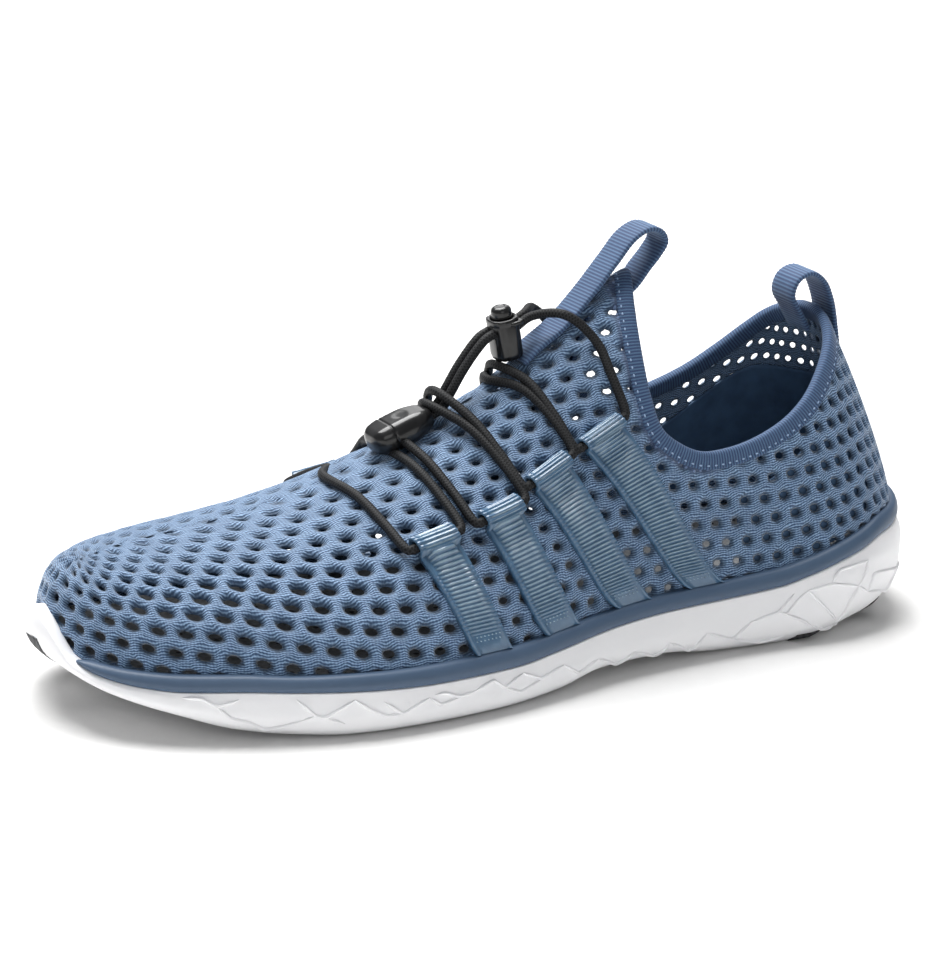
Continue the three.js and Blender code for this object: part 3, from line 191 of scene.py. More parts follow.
DRAINS = (
    (0.878, 0.073, 0.232, -0.017, 2, 0.1, 0.075), (0.819, 0.085, 0.222, -0.005, 2, 0.1, 0.08),
    (0.755, 0.3, 0.186, -0.006, 4, 0.098, 0.08), (0.7, 0.328, 0.176, -0.002, 4, 0.098, 0.08),
    (0.645, 0.35, 0.157, 0.0, 5, 0.095, 0.078), (0.598, 0.26, 0.146, 0.003, 4, 0.086, 0.07),
    (0.555, 0.308, 0.127, 0.005, 5, 0.08, 0.062), (0.517, 0.254, 0.122, 0.006, 4, 0.068, 0.052),
    (0.481, 0.222, 0.121, 0.008, 4, 0.062, 0.046), (0.45, 0.213, 0.114, 0.006, 4, 0.056, 0.042),
    (0.42, 0.199, 0.118, 0.009, 4, 0.054, 0.04), (0.389, 0.182, 0.119, 0.01, 4, 0.056, 0.042),
    (0.358, 0.165, 0.121, 0.01, 4, 0.06, 0.045), (0.324, 0.151, 0.12, 0.012, 4, 0.066, 0.05),
    (0.279, 0.125, 0.148, 0.012, 4, 0.078, 0.06), (0.221, 0.076, 0.174, 0.014, 3, 0.1, 0.078),
    (0.162, -0.005, 0.2, 0.0, 2, 0.106, 0.085),
)
TOE_PAD = (
    (0.998, -0.01), (0.994, -0.088), (0.9, -0.035), (0.872, -0.115), (0.87, -0.175), (0.97, -0.262),
    (0.957, -0.315), (0.83, -0.255), (0.79, -0.33), (0.862, -0.446), (0.82, -0.5), (0.755, -0.4),
    (0.728, -0.525), (0.688, -0.53), (0.682, -0.4), (0.586, -0.3), (0.59, -0.245), (0.69, -0.32),
    (0.735, -0.255), (0.647, -0.225), (0.65, -0.165), (0.76, -0.175), (0.79, -0.12), (0.707, -0.14),
    (0.708, -0.085), (0.77, -0.02),
)
HEEL_PAD = (
    (0.186, 0.36), (0.159, 0.352), (0.193, 0.202), (0.17, 0.145), (0.122, 0.13), (0.072, 0.29),
    (0.045, 0.25), (0.118, 0.1), (0.108, 0.06), (0.068, 0.03), (0.012, 0.11), (0.002, 0.06),
    (0.049, -0.03), (0.005, -0.17), (0.055, -0.265), (0.052, -0.19), (0.083, -0.07), (0.108, -0.035),
    (0.121, 0.02), (0.163, 0.045), (0.212, 0.1), (0.235, 0.13),
)


def smooth_step(t: Array) -> Array:
    """Soft step from 0 to 1."""
    t = np.clip(t, 0, 1)
    return t * t * (3 - 2 * t)


def unit(v: Array) -> Array:
    """Vectors of length one."""
    return v / np.maximum(np.linalg.norm(v, axis=-1, keepdims=True), 1e-12)


def share_at(y: Array) -> Array:
    """Share of the length from the heel for a place along Y."""
    return np.clip(0.5 - y / LENGTH, 0, 1)


def along_y(at: Array) -> Array:
    """Place along Y for a share of the length from the heel."""
    return (0.5 - np.asarray(at)) * LENGTH


def bottom_z(at: Array) -> Array:
    """Height of the sole's bottom over the floor."""
    return TOE_SPRING * HEIGHTS.read("lift", at)


def ledge_z(at: Array) -> Array:
    """Top of the white side, with the toe bumper."""
    side = SIDE_HEIGHT * HEIGHTS.read("ledge", at)
    return side + (BUMPER_HEIGHT - side) * smooth_step((at - 0.981) / 0.02)


def rand_top_z(at: Array) -> Array:
    """Top of the rand, where the knit starts."""
    return SIDE_HEIGHT * HEIGHTS.read("ledge", at) + RAND_HEIGHT * HEIGHTS.read("rand", at)


def floor_z(at: Array) -> Array:
    """Height of the footbed."""
    return FLOOR_HEIGHT * HEIGHTS.read("floor", at)


def spline(points: Array, steps: int, closed: bool = False) -> Array:
    """Centripetal curve through points.

    Args:
        points: Corner points, one row each.
        steps: Steps on each stretch between two points.
        closed: Whether the curve returns to its first point.

    Returns:
        Points on the curve; an open curve includes its last point.
    """
    n = len(points)
    if closed:
        ext = np.concatenate([points[-1:], points, points[:2]])
        count = n
    else:
        ext = np.concatenate([[2 * points[0] - points[1]], points, [2 * points[-1] - points[-2]]])
        count = n - 1
    rows = []
    for i in range(count):
        p0, p1, p2, p3 = ext[i : i + 4]
        d0, d1, d2 = (max(np.linalg.norm(b - a), 1e-6) ** 0.5 for a, b in ((p0, p1), (p1, p2), (p2, p3)))
        m1 = ((p1 - p0) / d0 - (p2 - p0) / (d0 + d1) + (p2 - p1) / d1) * d1
        m2 = ((p2 - p1) / d1 - (p3 - p1) / (d1 + d2) + (p3 - p2) / d2) * d1
        t = (np.arange(steps) / steps)[:, None]
        rows.append(
            (2 * t**3 - 3 * t**2 + 1) * p1 + (t**3 - 2 * t**2 + t) * m1 + (3 * t**2 - 2 * t**3) * p2 + (t**3 - t**2) * m2
        )
    curve = np.concatenate(rows)
    return curve if closed else np.concatenate([curve, points[-1:]])


def even(points: Array, count: int, closed: bool = False) -> Array:
    """Points at equal distances along a polyline.

    Args:
        points: The polyline.
        count: Number of points wanted.
        closed: Whether the polyline closes; the last point then stops short of the first.

    Returns:
        The new points.
    """
    line = np.concatenate([points, points[:1]]) if closed else points
    run = np.concatenate([[0], np.cumsum(np.linalg.norm(np.diff(line, axis=0), axis=1))])
    want = np.linspace(0, run[-1], count, endpoint=not closed)
    return np.stack([np.interp(want, run, line[:, k]) for k in range(line.shape[1])], -1)


def line_length(points: Array) -> float:
    """Length of a polyline."""
    return float(np.linalg.norm(np.diff(points, axis=0), axis=1).sum())


class Last:
    """The form of the foot that the upper is drawn over, and the outline of the sole below it."""

    HALF = 360
    TURNS = 96

    def __init__(self) -> None:
        """Makes the outline ring, its normals and the grid of the upper's skin."""
        lateral = [(row[1] * BALL_WIDTH, along_y(row[0])) for row in OUTLINE]
        medial = [(-row[2] * BALL_WIDTH, along_y(row[0])) for row in OUTLINE[-2:0:-1]]
        curve = spline(np.array(lateral + medial), 20, closed=True)
        half = 20 * (len(OUTLINE) - 1)
        outer = even(curve[: half + 1], self.HALF + 1)
        inner = even(np.concatenate([curve[half:], curve[:1]]), self.HALF + 1)
        self.ring = np.concatenate([outer[:-1], inner[:-1]])
        self.count = len(self.ring)
        gap = np.roll(self.ring, -1, axis=0) - np.roll(self.ring, 1, axis=0)
        self.normal = unit(np.stack([-gap[:, 1], gap[:, 0]], -1))
        self.share = share_at(self.ring[:, 1])
        self.step = np.linalg.norm(np.roll(self.ring, -1, axis=0) - self.ring, axis=1)
        self._skin()

    def inset(self, distance: Union[float, Array], height: Callable[[Array], Array]) -> Array:
        """Ring moved inwards, at a height given along the length.

        Args:
            distance: Distance inwards, one value or one for each ring point.
            height: Function from the share of the length to the height.

        Returns:
            Points, one row each.
        """
        plan = self.ring - self.normal * np.reshape(distance, (-1, 1))
        return np.concatenate([plan, height(share_at(plan[:, 1]))[:, None]], axis=1)

    def _ridge_share(self, both: Array) -> Array:
        """Place on the ridge for a share of the base, with fanned ends."""
        heel_end, toe_end, bend = HEEL_SETBACK / LENGTH, 0.945, 0.1
        low = heel_end + bend
        t = np.clip(both / low, 0, 1)
        heel = low - bend * (1 - t ** (low / bend))
        reach = 1 - toe_end + bend
        u = np.clip((both - toe_end + bend) / reach, 0, 1)
        toe = toe_end - bend + bend * (1 - (1 - u) ** (reach / bend))
        return np.where(both < low, heel, np.where(both > toe_end - bend, toe, both))

    def _ridge_z(self, at: Array) -> Array:
        """Height of the ridge."""
        plain = RIDGE.read("height", at) * PEAK_HEIGHT
        low = plain + TOE_BOX_HEIGHT - 0.378 * PEAK_HEIGHT
        return plain + (low - plain) * smooth_step((at - 0.45) / 0.45)

    def _skin(self) -> None:
        """Grid of the skin over ring points and turns, with its normals and arc lengths."""
        base = self.inset(SIDE_WALL + CLEARANCE, rand_top_z)
        mirror = (self.count - np.arange(self.count)) % self.count
        ridge_at = self._ridge_share((self.share + self.share[mirror]) / 2)
        ridge = np.stack(
            [-RIDGE.read("shift", ridge_at) * BALL_WIDTH, along_y(ridge_at), self._ridge_z(ridge_at)], -1
        )
        turn = np.linspace(0, np.pi / 2, self.TURNS + 1)[None, :]
        crown = FULLNESS.read("crown", self.share)[:, None]
        wall = FULLNESS.read("wall", self.share)[:, None]
        far = np.cos(turn).clip(0, 1) ** (2 / crown)
        high = np.sin(turn) ** (2 / wall)
        far[:, -1] = 0
        x = ridge[:, :1] + (base[:, :1] - ridge[:, :1]) * far
        y = ridge[:, 1:2] + (base[:, 1:2] - ridge[:, 1:2]) * far
        z = base[:, 2:3] + (ridge[:, 2:3] - base[:, 2:3]) * high
        self.skin = np.stack([x, y, z], -1)
        along = np.roll(self.skin, -4, axis=0) - np.roll(self.skin, 4, axis=0)
        up = np.gradient(self.skin, axis=1)
        normal = np.cross(up, along)
        normal[:, -1] = normal[:, -3]
        normal[:, 0] = normal[:, 1]
        normal = unit(normal)
        ridge_normal = unit(normal[:, -1] + normal[mirror, -1])
        blend = smooth_step((np.linspace(0, 1, self.TURNS + 1) - 0.9) / 0.1)[None, :, None]
        normal = unit(normal * (1 - blend) + ridge_normal[:, None] * blend)
        self.skin_normal = self._soften(normal)
        arc = np.linalg.norm(np.diff(self.skin, axis=1), axis=2).cumsum(axis=1)
        self.arc = np.concatenate([np.zeros((self.count, 1)), arc], axis=1)
        self.reach = self.arc[:, -1]

    def _soften(self, normal: Array) -> Array:
        """Normals averaged a little along the ring."""
        for _ in range(3):
            normal = unit(np.roll(normal, 2, axis=0) + normal * 2 + np.roll(normal, -2, axis=0))
        return normal

    def lookup(self, grid: Array, k: Array, turn: Array) -> Array:
        """Value of a grid between its nodes.

        Args:
            grid: Grid over ring points and turns.
            k: Ring places, wrapping.
            turn: Turn places from 0 to TURNS.

        Returns:
            The values, one row each.
        """
        k0 = np.floor(k).astype(int)
        j0 = np.clip(np.floor(turn).astype(int), 0, self.TURNS - 1)
        s, t = (k - k0)[:, None], (turn - j0)[:, None]
        a, b = k0 % self.count, (k0 + 1) % self.count
        low = grid[a, j0] * (1 - s) + grid[b, j0] * s
        high = grid[a, j0 + 1] * (1 - s) + grid[b, j0 + 1] * s
        return low * (1 - t) + high * t

    def turn_at(self, k: Array, reach: Array) -> Array:
        """Turn place for an arc length over the feather line."""
        k0 = np.round(k).astype(int) % self.count
        rows = self.arc[k0]
        j = np.clip((rows < reach[:, None]).sum(axis=1) - 1, 0, self.TURNS - 1)
        pick = np.arange(len(k))
        span = np.maximum(rows[pick, j + 1] - rows[pick, j], 1e-9)
        return np.clip(j + (reach - rows[pick, j]) / span, 0, self.TURNS)

    def place(self, at: Array, side: int) -> Array:
        """Ring place for a share of the length on one side, 1 outer and -1 inner."""
        rows = np.arange(self.HALF + 1)
        index = rows if side > 0 else (self.count - rows) % self.count
        found = np.interp(at, self.share[index], rows)
        return found if side > 0 else self.count - found

    def on_upper(self, at: Array, climb: Array, side: int, out: Union[float, Array]) -> Array:
        """Point over the skin at a share of the length and a climb from the feather line to the ridge."""
        at, climb = np.broadcast_arrays(np.atleast_1d(at).astype(float), np.atleast_1d(climb).astype(float))
        k = self.place(at.ravel(), side)
        turn = np.clip(climb.ravel(), 0, 1) * self.TURNS
        out = np.broadcast_to(np.asarray(out, float), at.shape).ravel()
        point = self.lookup(self.skin, k, turn) + self.lookup(self.skin_normal, k, turn) * out[:, None]
        return point.reshape(*at.shape, 3)


LAST = Last()


def collar_line() -> Array:
    """The collar seen from the side as fine [y, z] points, with the tilt across taken out."""
    rows = [(along_y(at), heel * HEEL_HEIGHT + peak * PEAK_HEIGHT) for at, heel, peak in COLLAR]
    return spline(np.array(rows), 8)


def over_collar(points: Array) -> Array:
    """Signed distance over the collar line, positive where the shoe is open.

    Args:
        points: Points in millimetres.

    Returns:
        One distance each.
    """
    line = collar_line()
    y, z = points[:, 1], points[:, 2] - COLLAR_TILT * points[:, 0]
    a, b = line[:-1], line[1:]
    d = b - a
    best = np.full(len(y), 1e9)
    for (ay, az), (dy, dz) in zip(a, d):
        t = np.clip(((y - ay) * dy + (z - az) * dz) / (dy * dy + dz * dz), 0, 1)
        best = np.minimum(best, np.hypot(y - ay - t * dy, z - az - t * dz))
    back, top = LENGTH * 0.75, PEAK_HEIGHT * 2
    shape = np.concatenate([line, [[line[-1, 0], top], [back, top], [back, line[0, 1]]]])
    inside = np.zeros(len(y), bool)
    for (y0, z0), (y1, z1) in zip(shape, np.roll(shape, -1, axis=0)):
        if z0 == z1:
            continue
        cross = (z0 > z) != (z1 > z)
        inside ^= cross & (y < (y1 - y0) * (z - z0) / (z1 - z0) + y0)
    return np.where(inside, best, -best)


Value = Union["Socket", float]


class Socket:
    """Output of a shader node; arithmetic on it adds Math nodes."""

    def __init__(self, shader: "Shader", output: bpy.types.NodeSocket) -> None:
        """Wraps an output of a shader's node."""
        self.shader = shader
        self.output = output

    def __add__(self, other: Value) -> "Socket":
        """Sum."""
        return self.shader.math("ADD", self, other)

    __radd__ = __add__

    def __sub__(self, other: Value) -> "Socket":
        """Difference."""
        return self.shader.math("SUBTRACT", self, other)

    def __rsub__(self, other: Value) -> "Socket":
        """Difference from a number."""
        return self.shader.math("SUBTRACT", other, self)

    def __mul__(self, other: Value) -> "Socket":
        """Product."""
        return self.shader.math("MULTIPLY", self, other)

    __rmul__ = __mul__

    def __truediv__(self, other: Value) -> "Socket":
        """Quotient."""
        return self.shader.math("DIVIDE", self, other)

    def __pow__(self, other: Value) -> "Socket":
        """Power."""
        return self.shader.math("POWER", self, other)


class Shader:
    """Node tree of one material, with one method that makes nodes."""

    def __init__(self, name: str) -> None:
        """Starts an empty material with a Principled shader."""
        self.material = bpy.data.materials.new(name)
        self.material.use_nodes = True
        self.tree = self.material.node_tree
        self.tree.nodes.clear()
        self.surface = self.tree.nodes.new("ShaderNodeBsdfPrincipled")
        output = self.tree.nodes.new("ShaderNodeOutputMaterial")
        self.tree.links.new(self.surface.outputs["BSDF"], output.inputs["Surface"])

    def node(self, kind: str, settings: Optional[dict] = None, output: Union[int, str] = 0, **values) -> Socket:
        """Makes one node.

        Args:
            kind: Blender's type of the node.
            settings: Properties set before its sockets; "stops" fills a ramp.
            output: The output that is wanted.
            **values: Values or links by socket name, with _ for a space, or in<number>.

        Returns:
            The wanted output.
        """
        node = self.tree.nodes.new(kind)
        for name, value in (settings or {}).items():
            if name == "stops":
                ramp = node.color_ramp
                while len(ramp.elements) < len(value):
                    ramp.elements.new(0.5)
                for element, (place, colour) in zip(ramp.elements, value):
                    element.position = place
                    element.color = (*colour, 1.0)
            else:
                setattr(node, name, value)
        for name, value in values.items():
            key = int(name[2:]) if name.startswith("in") and name[2:].isdigit() else name.replace("_", " ")
            self.feed(node.inputs[key], value)
        return Socket(self, node.outputs[output])

    def feed(self, socket: bpy.types.NodeSocket, value) -> None:
        """Links or sets one input."""
        if isinstance(value, Socket):
            self.tree.links.new(value.output, socket)
        elif isinstance(value, tuple) and len(value) == 3 and socket.type == "RGBA":
            socket.default_value = (*value, 1.0)
        else:
            socket.default_value = value

    def math(self, operation: str, a: Value, b: Value = 0.0, clamp: bool = False) -> Socket:
        """Math node on values."""
        return self.node("ShaderNodeMath", {"operation": operation, "use_clamp": clamp}, in0=a, in1=b)

    def mix(self, factor: Value, a, b, blend: str = "MIX") -> Socket:
        """Mix of two colours."""
        return self.node(
            "ShaderNodeMix", {"data_type": "RGBA", "blend_type": blend}, output=2, in0=factor, in6=a, in7=b
        )

    def noise(self, vector: Socket, scale: float, detail: float = 3.0, roughness: float = 0.5) -> Socket:
        """Noise between 0 and 1."""
        return self.node("ShaderNodeTexNoise", output="Fac", Vector=vector, Scale=scale, Detail=detail, Roughness=roughness)

    def ramp(self, value: Value, low: float, high: float) -> Socket:
        """Soft step of a value from 0 at low to 1 at high."""
        return self.node(
            "ShaderNodeMapRange", {"interpolation_type": "SMOOTHSTEP"}, in0=value, in1=low, in2=high, in3=0.0, in4=1.0
        )

    def objects(self) -> Socket:
        """Object coordinates."""
        return self.node("ShaderNodeTexCoord", output="Object")

    def split(self, vector: Socket) -> tuple[Socket, Socket, Socket]:
        """The three parts of a vector."""
        first = self.node("ShaderNodeSeparateXYZ", in0=vector)
        outputs = first.output.node.outputs
        return tuple(Socket(self, outputs[i]) for i in range(3))

    def fabric(self) -> tuple[Socket, Socket, Socket]:
        """The piece's own map as a vector, and its two parts in millimetres."""
        vector = self.node("ShaderNodeUVMap", {"uv_map": "fabric"})
        u, v, _ = self.split(vector)
        return vector, u, v

    def stripes(self, place: Socket, pitch: float) -> Socket:
        """Soft ribs across a place: 1 on a rib's crest and 0 between ribs."""
        wave = self.math("COSINE", place * (2 * math.pi / pitch))
        return wave * 0.5 + 0.5

    def bump(self, height: Socket, distance: float, strength: float = 1.0, normal: Optional[Socket] = None) -> Socket:
        """Bump from a height, with its distance in metres."""
        values = {"Height": height, "Distance": distance, "Strength": strength}
        if normal is not None:
            values["Normal"] = normal
        return self.node("ShaderNodeBump", output="Normal", **values)

    def set(self, **values) -> None:
        """Sets or links inputs of the surface."""
        for name, value in values.items():
            self.feed(self.surface.inputs[name.replace("_", " ")], value)


Colour = tuple[float, float, float]


@dataclass(frozen=True)
class Finish:
    """A finish: its name, the record's slot, and what the plain surface has."""

    name: str
    slot: str
    colour: Colour
    roughness: float = 0.6
    coat: float = 0.0
    sheen: float = 0.0
    gloss: float = 0.5

    def dress(self, shader: Shader) -> None:
        """Adds the finish's own nodes."""

    def material(self) -> bpy.types.Material:
        """The material, made once."""
        known = bpy.data.materials.get(self.name)
        if known is not None:
            return known
        shader = Shader(self.name)
        shader.set(Base_Color=self.colour, Roughness=self.roughness, Coat_Weight=self.coat)
        shader.set(Sheen_Weight=self.sheen, Specular_IOR_Level=self.gloss)
        self.dress(shader)
        return shader.material


@dataclass(frozen=True)
class KnitFinish(Finish):
    """Knitted yarn: fine stitch lines, brighter on their crests."""

    stitch: float = 0.72
    shade: Colour = (0.016, 0.042, 0.1)
    light: Colour = (0.42, 0.6, 0.82)
    # pit: painted shade colour for the walls of each dimple going into its hole
    pit: Colour = (0.025, 0.055, 0.1)

    def dress(self, shader: Shader) -> None:
        """Wavy stitch lines with fibres between them, painted shade in the dimples and a dark band at the collar."""
        vector, u, v = shader.fabric()
        wander = shader.noise(vector, 0.35, 2.0)
        fibre = shader.noise(vector, 5.0, 4.0, 0.7)
        patch = shader.noise(vector, 0.09, 3.0)
        line = shader.stripes(v + wander * 1.3 + shader.math("SINE", u * 0.74) * 0.3, self.stitch)
        cross = shader.stripes(u + wander * 1.2, self.stitch * 1.35)
        yarn = line * 0.65 + cross * 0.15 + fibre * 0.35
        tone = shader.mix(shader.ramp(yarn, 0.1, 0.9), self.shade, self.colour)
        tone = shader.mix(shader.ramp(yarn, 0.58, 1.05) * 0.7, tone, self.light)
        tone = shader.mix(shader.ramp(patch, 0.3, 0.75) * 0.2, tone, self.shade)
        # painted shade: the dimples' hole walls are darkened towards the pit colour
        pit = shader.node("ShaderNodeAttribute", {"attribute_name": "pit"}, output="Fac")
        tone = shader.mix(pit * 0.85, tone, self.pit)
        edge = shader.node("ShaderNodeAttribute", {"attribute_name": "edge"}, output="Fac")
        dots = shader.ramp(shader.stripes(u, 2.4) * shader.stripes(v, 1.9), 0.55, 0.8)
        band = shader.mix(dots, (0.035, 0.065, 0.14), (0.15, 0.23, 0.42))
        tone = shader.mix(edge, tone, band)
        shader.set(
            Base_Color=tone,
            Roughness=0.78 - yarn * 0.2,
            Normal=shader.bump(yarn + dots * edge, 0.00022, 0.9),
        )


@dataclass(frozen=True)
class WebbingFinish(Finish):
    """Ribbed webbing: ribs across it and rows of yarn along them."""

    pitch: float = 1.1
    light: Colour = (0.15, 0.25, 0.4)
    shade: Colour = (0.02, 0.035, 0.1)

    def dress(self, shader: Shader) -> None:
        """Shade between the ribs and fine yarns on them."""
        vector, u, v = shader.fabric()
        rib = shader.stripes(u, self.pitch)
        yarn = shader.stripes(v + rib * 0.2, 0.42)
        fuzz = shader.noise(vector, 3.0, 4.0, 0.7)
        level = rib * 0.6 + yarn * 0.2 + fuzz * 0.3
        tone = shader.mix(shader.ramp(level, 0.12, 0.8), self.shade, self.colour)
        tone = shader.mix(shader.ramp(level, 0.62, 1.05) * 0.5, tone, self.light)
        shader.set(Base_Color=tone, Roughness=0.85 - level * 0.2, Normal=shader.bump(level, 0.00012, 0.8))


@dataclass(frozen=True)
class MouldedFinish(Finish):
    """Moulded foam or rubber: fine skin with soft clouding and rougher scuffed patches."""

    grain: float = 900.0
    depth: float = 0.00004
    cloud: Colour = (0.8, 0.8, 0.82)

    def dress(self, shader: Shader) -> None:
        """Fine grain, faint clouds and rougher patches."""
        where = shader.objects()
        cloud = shader.noise(where, 28.0, 3.0)
        grain = shader.noise(where, self.grain, 3.0, 0.6)
        scuff = shader.ramp(shader.noise(where, 160.0, 5.0, 0.7), 0.58, 0.75)
        tone = shader.mix(shader.ramp(cloud, 0.35, 0.7) * 0.5, self.colour, self.cloud)
        shader.set(
            Base_Color=tone,
            Roughness=self.roughness + grain * 0.1 + scuff * 0.08 - 0.05,
            Normal=shader.bump(grain, self.depth, 0.5),
        )


@dataclass(frozen=True)
class FilmFinish(Finish):
    """Glossy moulded strap film: clouded teal over a darker base, with painted highlights on the ribs."""

    light: Colour = (0.34, 0.46, 0.53)

    def dress(self, shader: Shader) -> None:
        """Painted highlights on the rib crests, depth in the colour and a gloss that changes a little."""
        vector, u, v = shader.fabric()
        cloud = shader.noise(vector, 0.3, 3.0)
        fleck = shader.noise(vector, 2.4, 4.0, 0.6)
        rib = shader.ramp(shader.stripes(u, 1.15), 0.45, 0.95)
        middle = shader.ramp(v, 1.2, 2.4) * (1.0 - shader.ramp(v, 10.6, 11.8))
        upper = shader.ramp(u, 6.0, 16.0)
        # painted highlight: the rib crests in the strap's middle are lightened towards the light colour
        painted_rib_highlight = rib * middle * upper * (0.25 + cloud * 0.9)
        tone = shader.mix(shader.ramp(cloud, 0.35, 0.7) * 0.5, self.colour, (0.085, 0.175, 0.28))
        tone = shader.mix(shader.ramp(fleck, 0.62, 0.75) * 0.35, tone, self.light)
        tone = shader.mix(painted_rib_highlight * 0.75, tone, self.light)
        shader.set(
            Base_Color=tone,
            Roughness=0.22 + fleck * 0.2,
            Normal=shader.bump(fleck, 0.00005, 0.5),
        )


@dataclass(frozen=True)
class CordFinish(Finish):
    """Braided elastic cord: two sets of strands that cross."""

    light: Colour = (0.026, 0.027, 0.029)

    def dress(self, shader: Shader) -> None:
        """Strands from the place along the cord and round it."""
        vector, u, v = shader.fabric()
        one = shader.stripes(u + v * 0.55, 0.95)
        two = shader.stripes(u - v * 0.55, 0.95)
        braid = shader.math("MAXIMUM", one, two)
        fuzz = shader.noise(vector, 4.0, 4.0, 0.7)
        tone = shader.mix(shader.ramp(braid * 0.7 + fuzz * 0.4, 0.5, 1.0), self.colour, self.light)
        shader.set(Base_Color=tone, Roughness=0.5 + fuzz * 0.2, Normal=shader.bump(braid, 0.00012, 0.7))


@dataclass(frozen=True)
class PlasticFinish(Finish):
    """Hard satin plastic with a fine moulded texture."""

    def dress(self, shader: Shader) -> None:
        """Fine texture and faint handling marks."""
        where = shader.objects()
        grain = shader.noise(where, 1400.0, 3.0, 0.6)
        marks = shader.noise(where, 220.0, 4.0, 0.6)
        tone = shader.mix(shader.ramp(marks, 0.45, 0.8) * 0.5, self.colour, (0.016, 0.016, 0.017))
        shader.set(Base_Color=tone, Roughness=self.roughness + marks * 0.14 - 0.05, Normal=shader.bump(grain, 0.00003, 0.5))


@dataclass(frozen=True)
class InsoleFinish(Finish):
    """Foam insole under a brushed cloth, with small round vents."""

    def dress(self, shader: Shader) -> None:
        """Rows of dark vents on a soft nap."""
        where = shader.objects()
        x, y, _ = shader.split(where)
        nap = shader.noise(where, 700.0, 4.0, 0.7)
        dots = shader.stripes(x, 0.008) * shader.stripes(y, 0.008)
        vent = shader.ramp(dots, 0.86, 0.93)
        tone = shader.mix(shader.ramp(nap, 0.3, 0.7), self.colour, (0.15, 0.155, 0.16))
        tone = shader.mix(vent, tone, (0.02, 0.02, 0.022))
        shader.set(Base_Color=tone, Roughness=0.9 - nap * 0.1, Normal=shader.bump(nap * 0.3 - vent, 0.0004, 0.7))


@dataclass(frozen=True)
class LiningFinish(Finish):
    """Smooth woven heel lining."""

    def dress(self, shader: Shader) -> None:
        """A fine plain weave."""
        vector, u, v = shader.fabric()
        weave = shader.stripes(u, 0.5) * shader.stripes(v, 0.5)
        cloud = shader.noise(vector, 0.12, 3.0)
        tone = shader.mix(shader.ramp(cloud, 0.3, 0.75) * 0.5, self.colour, (0.02, 0.045, 0.1))
        shader.set(Base_Color=tone, Roughness=0.72 + weave * 0.1, Normal=shader.bump(weave, 0.00005, 0.5))


KNIT = KnitFinish("knit_mesh", "upper_knit", (0.115, 0.225, 0.4), sheen=0.3)
WEBBING = WebbingFinish("ribbed_band", "ribbed_webbing", (0.05, 0.108, 0.21), sheen=0.1)
BINDING_FINISH = WebbingFinish("collar_band", "ribbed_webbing", (0.045, 0.105, 0.21), sheen=0.1, pitch=0.95)
RAND_FINISH = MouldedFinish("rand_skin", "rand_rubber", (0.055, 0.095, 0.16), 0.5, cloud=(0.063, 0.105, 0.175))
FOAM = MouldedFinish("midsole_skin", "midsole_foam", (0.93, 0.93, 0.945), 0.5, cloud=(0.89, 0.89, 0.91))
RUBBER = MouldedFinish("tread_rubber", "outsole_rubber", (0.035, 0.036, 0.04), 0.62, cloud=(0.05, 0.051, 0.054))
INSOLE = InsoleFinish("insole_cloth", "insole_foam", (0.1, 0.105, 0.11), 0.9)
FILM = FilmFinish("moulded_film", "strap_film", (0.05, 0.12, 0.215), 0.3, coat=0.5)
CORD = CordFinish("braided_cord", "lace_cord", (0.004, 0.0042, 0.0045), 0.5, gloss=0.2)
PLASTIC = PlasticFinish("satin_plastic", "hard_plastic", (0.006, 0.006, 0.0065), 0.3, coat=0.5, gloss=0.25)
LINING = LiningFinish("heel_lining", "upper_knit", (0.06, 0.125, 0.23), 0.75)
STITCH = Finish("pale_stitch", "ribbed_webbing", (0.3, 0.42, 0.62), 0.6)


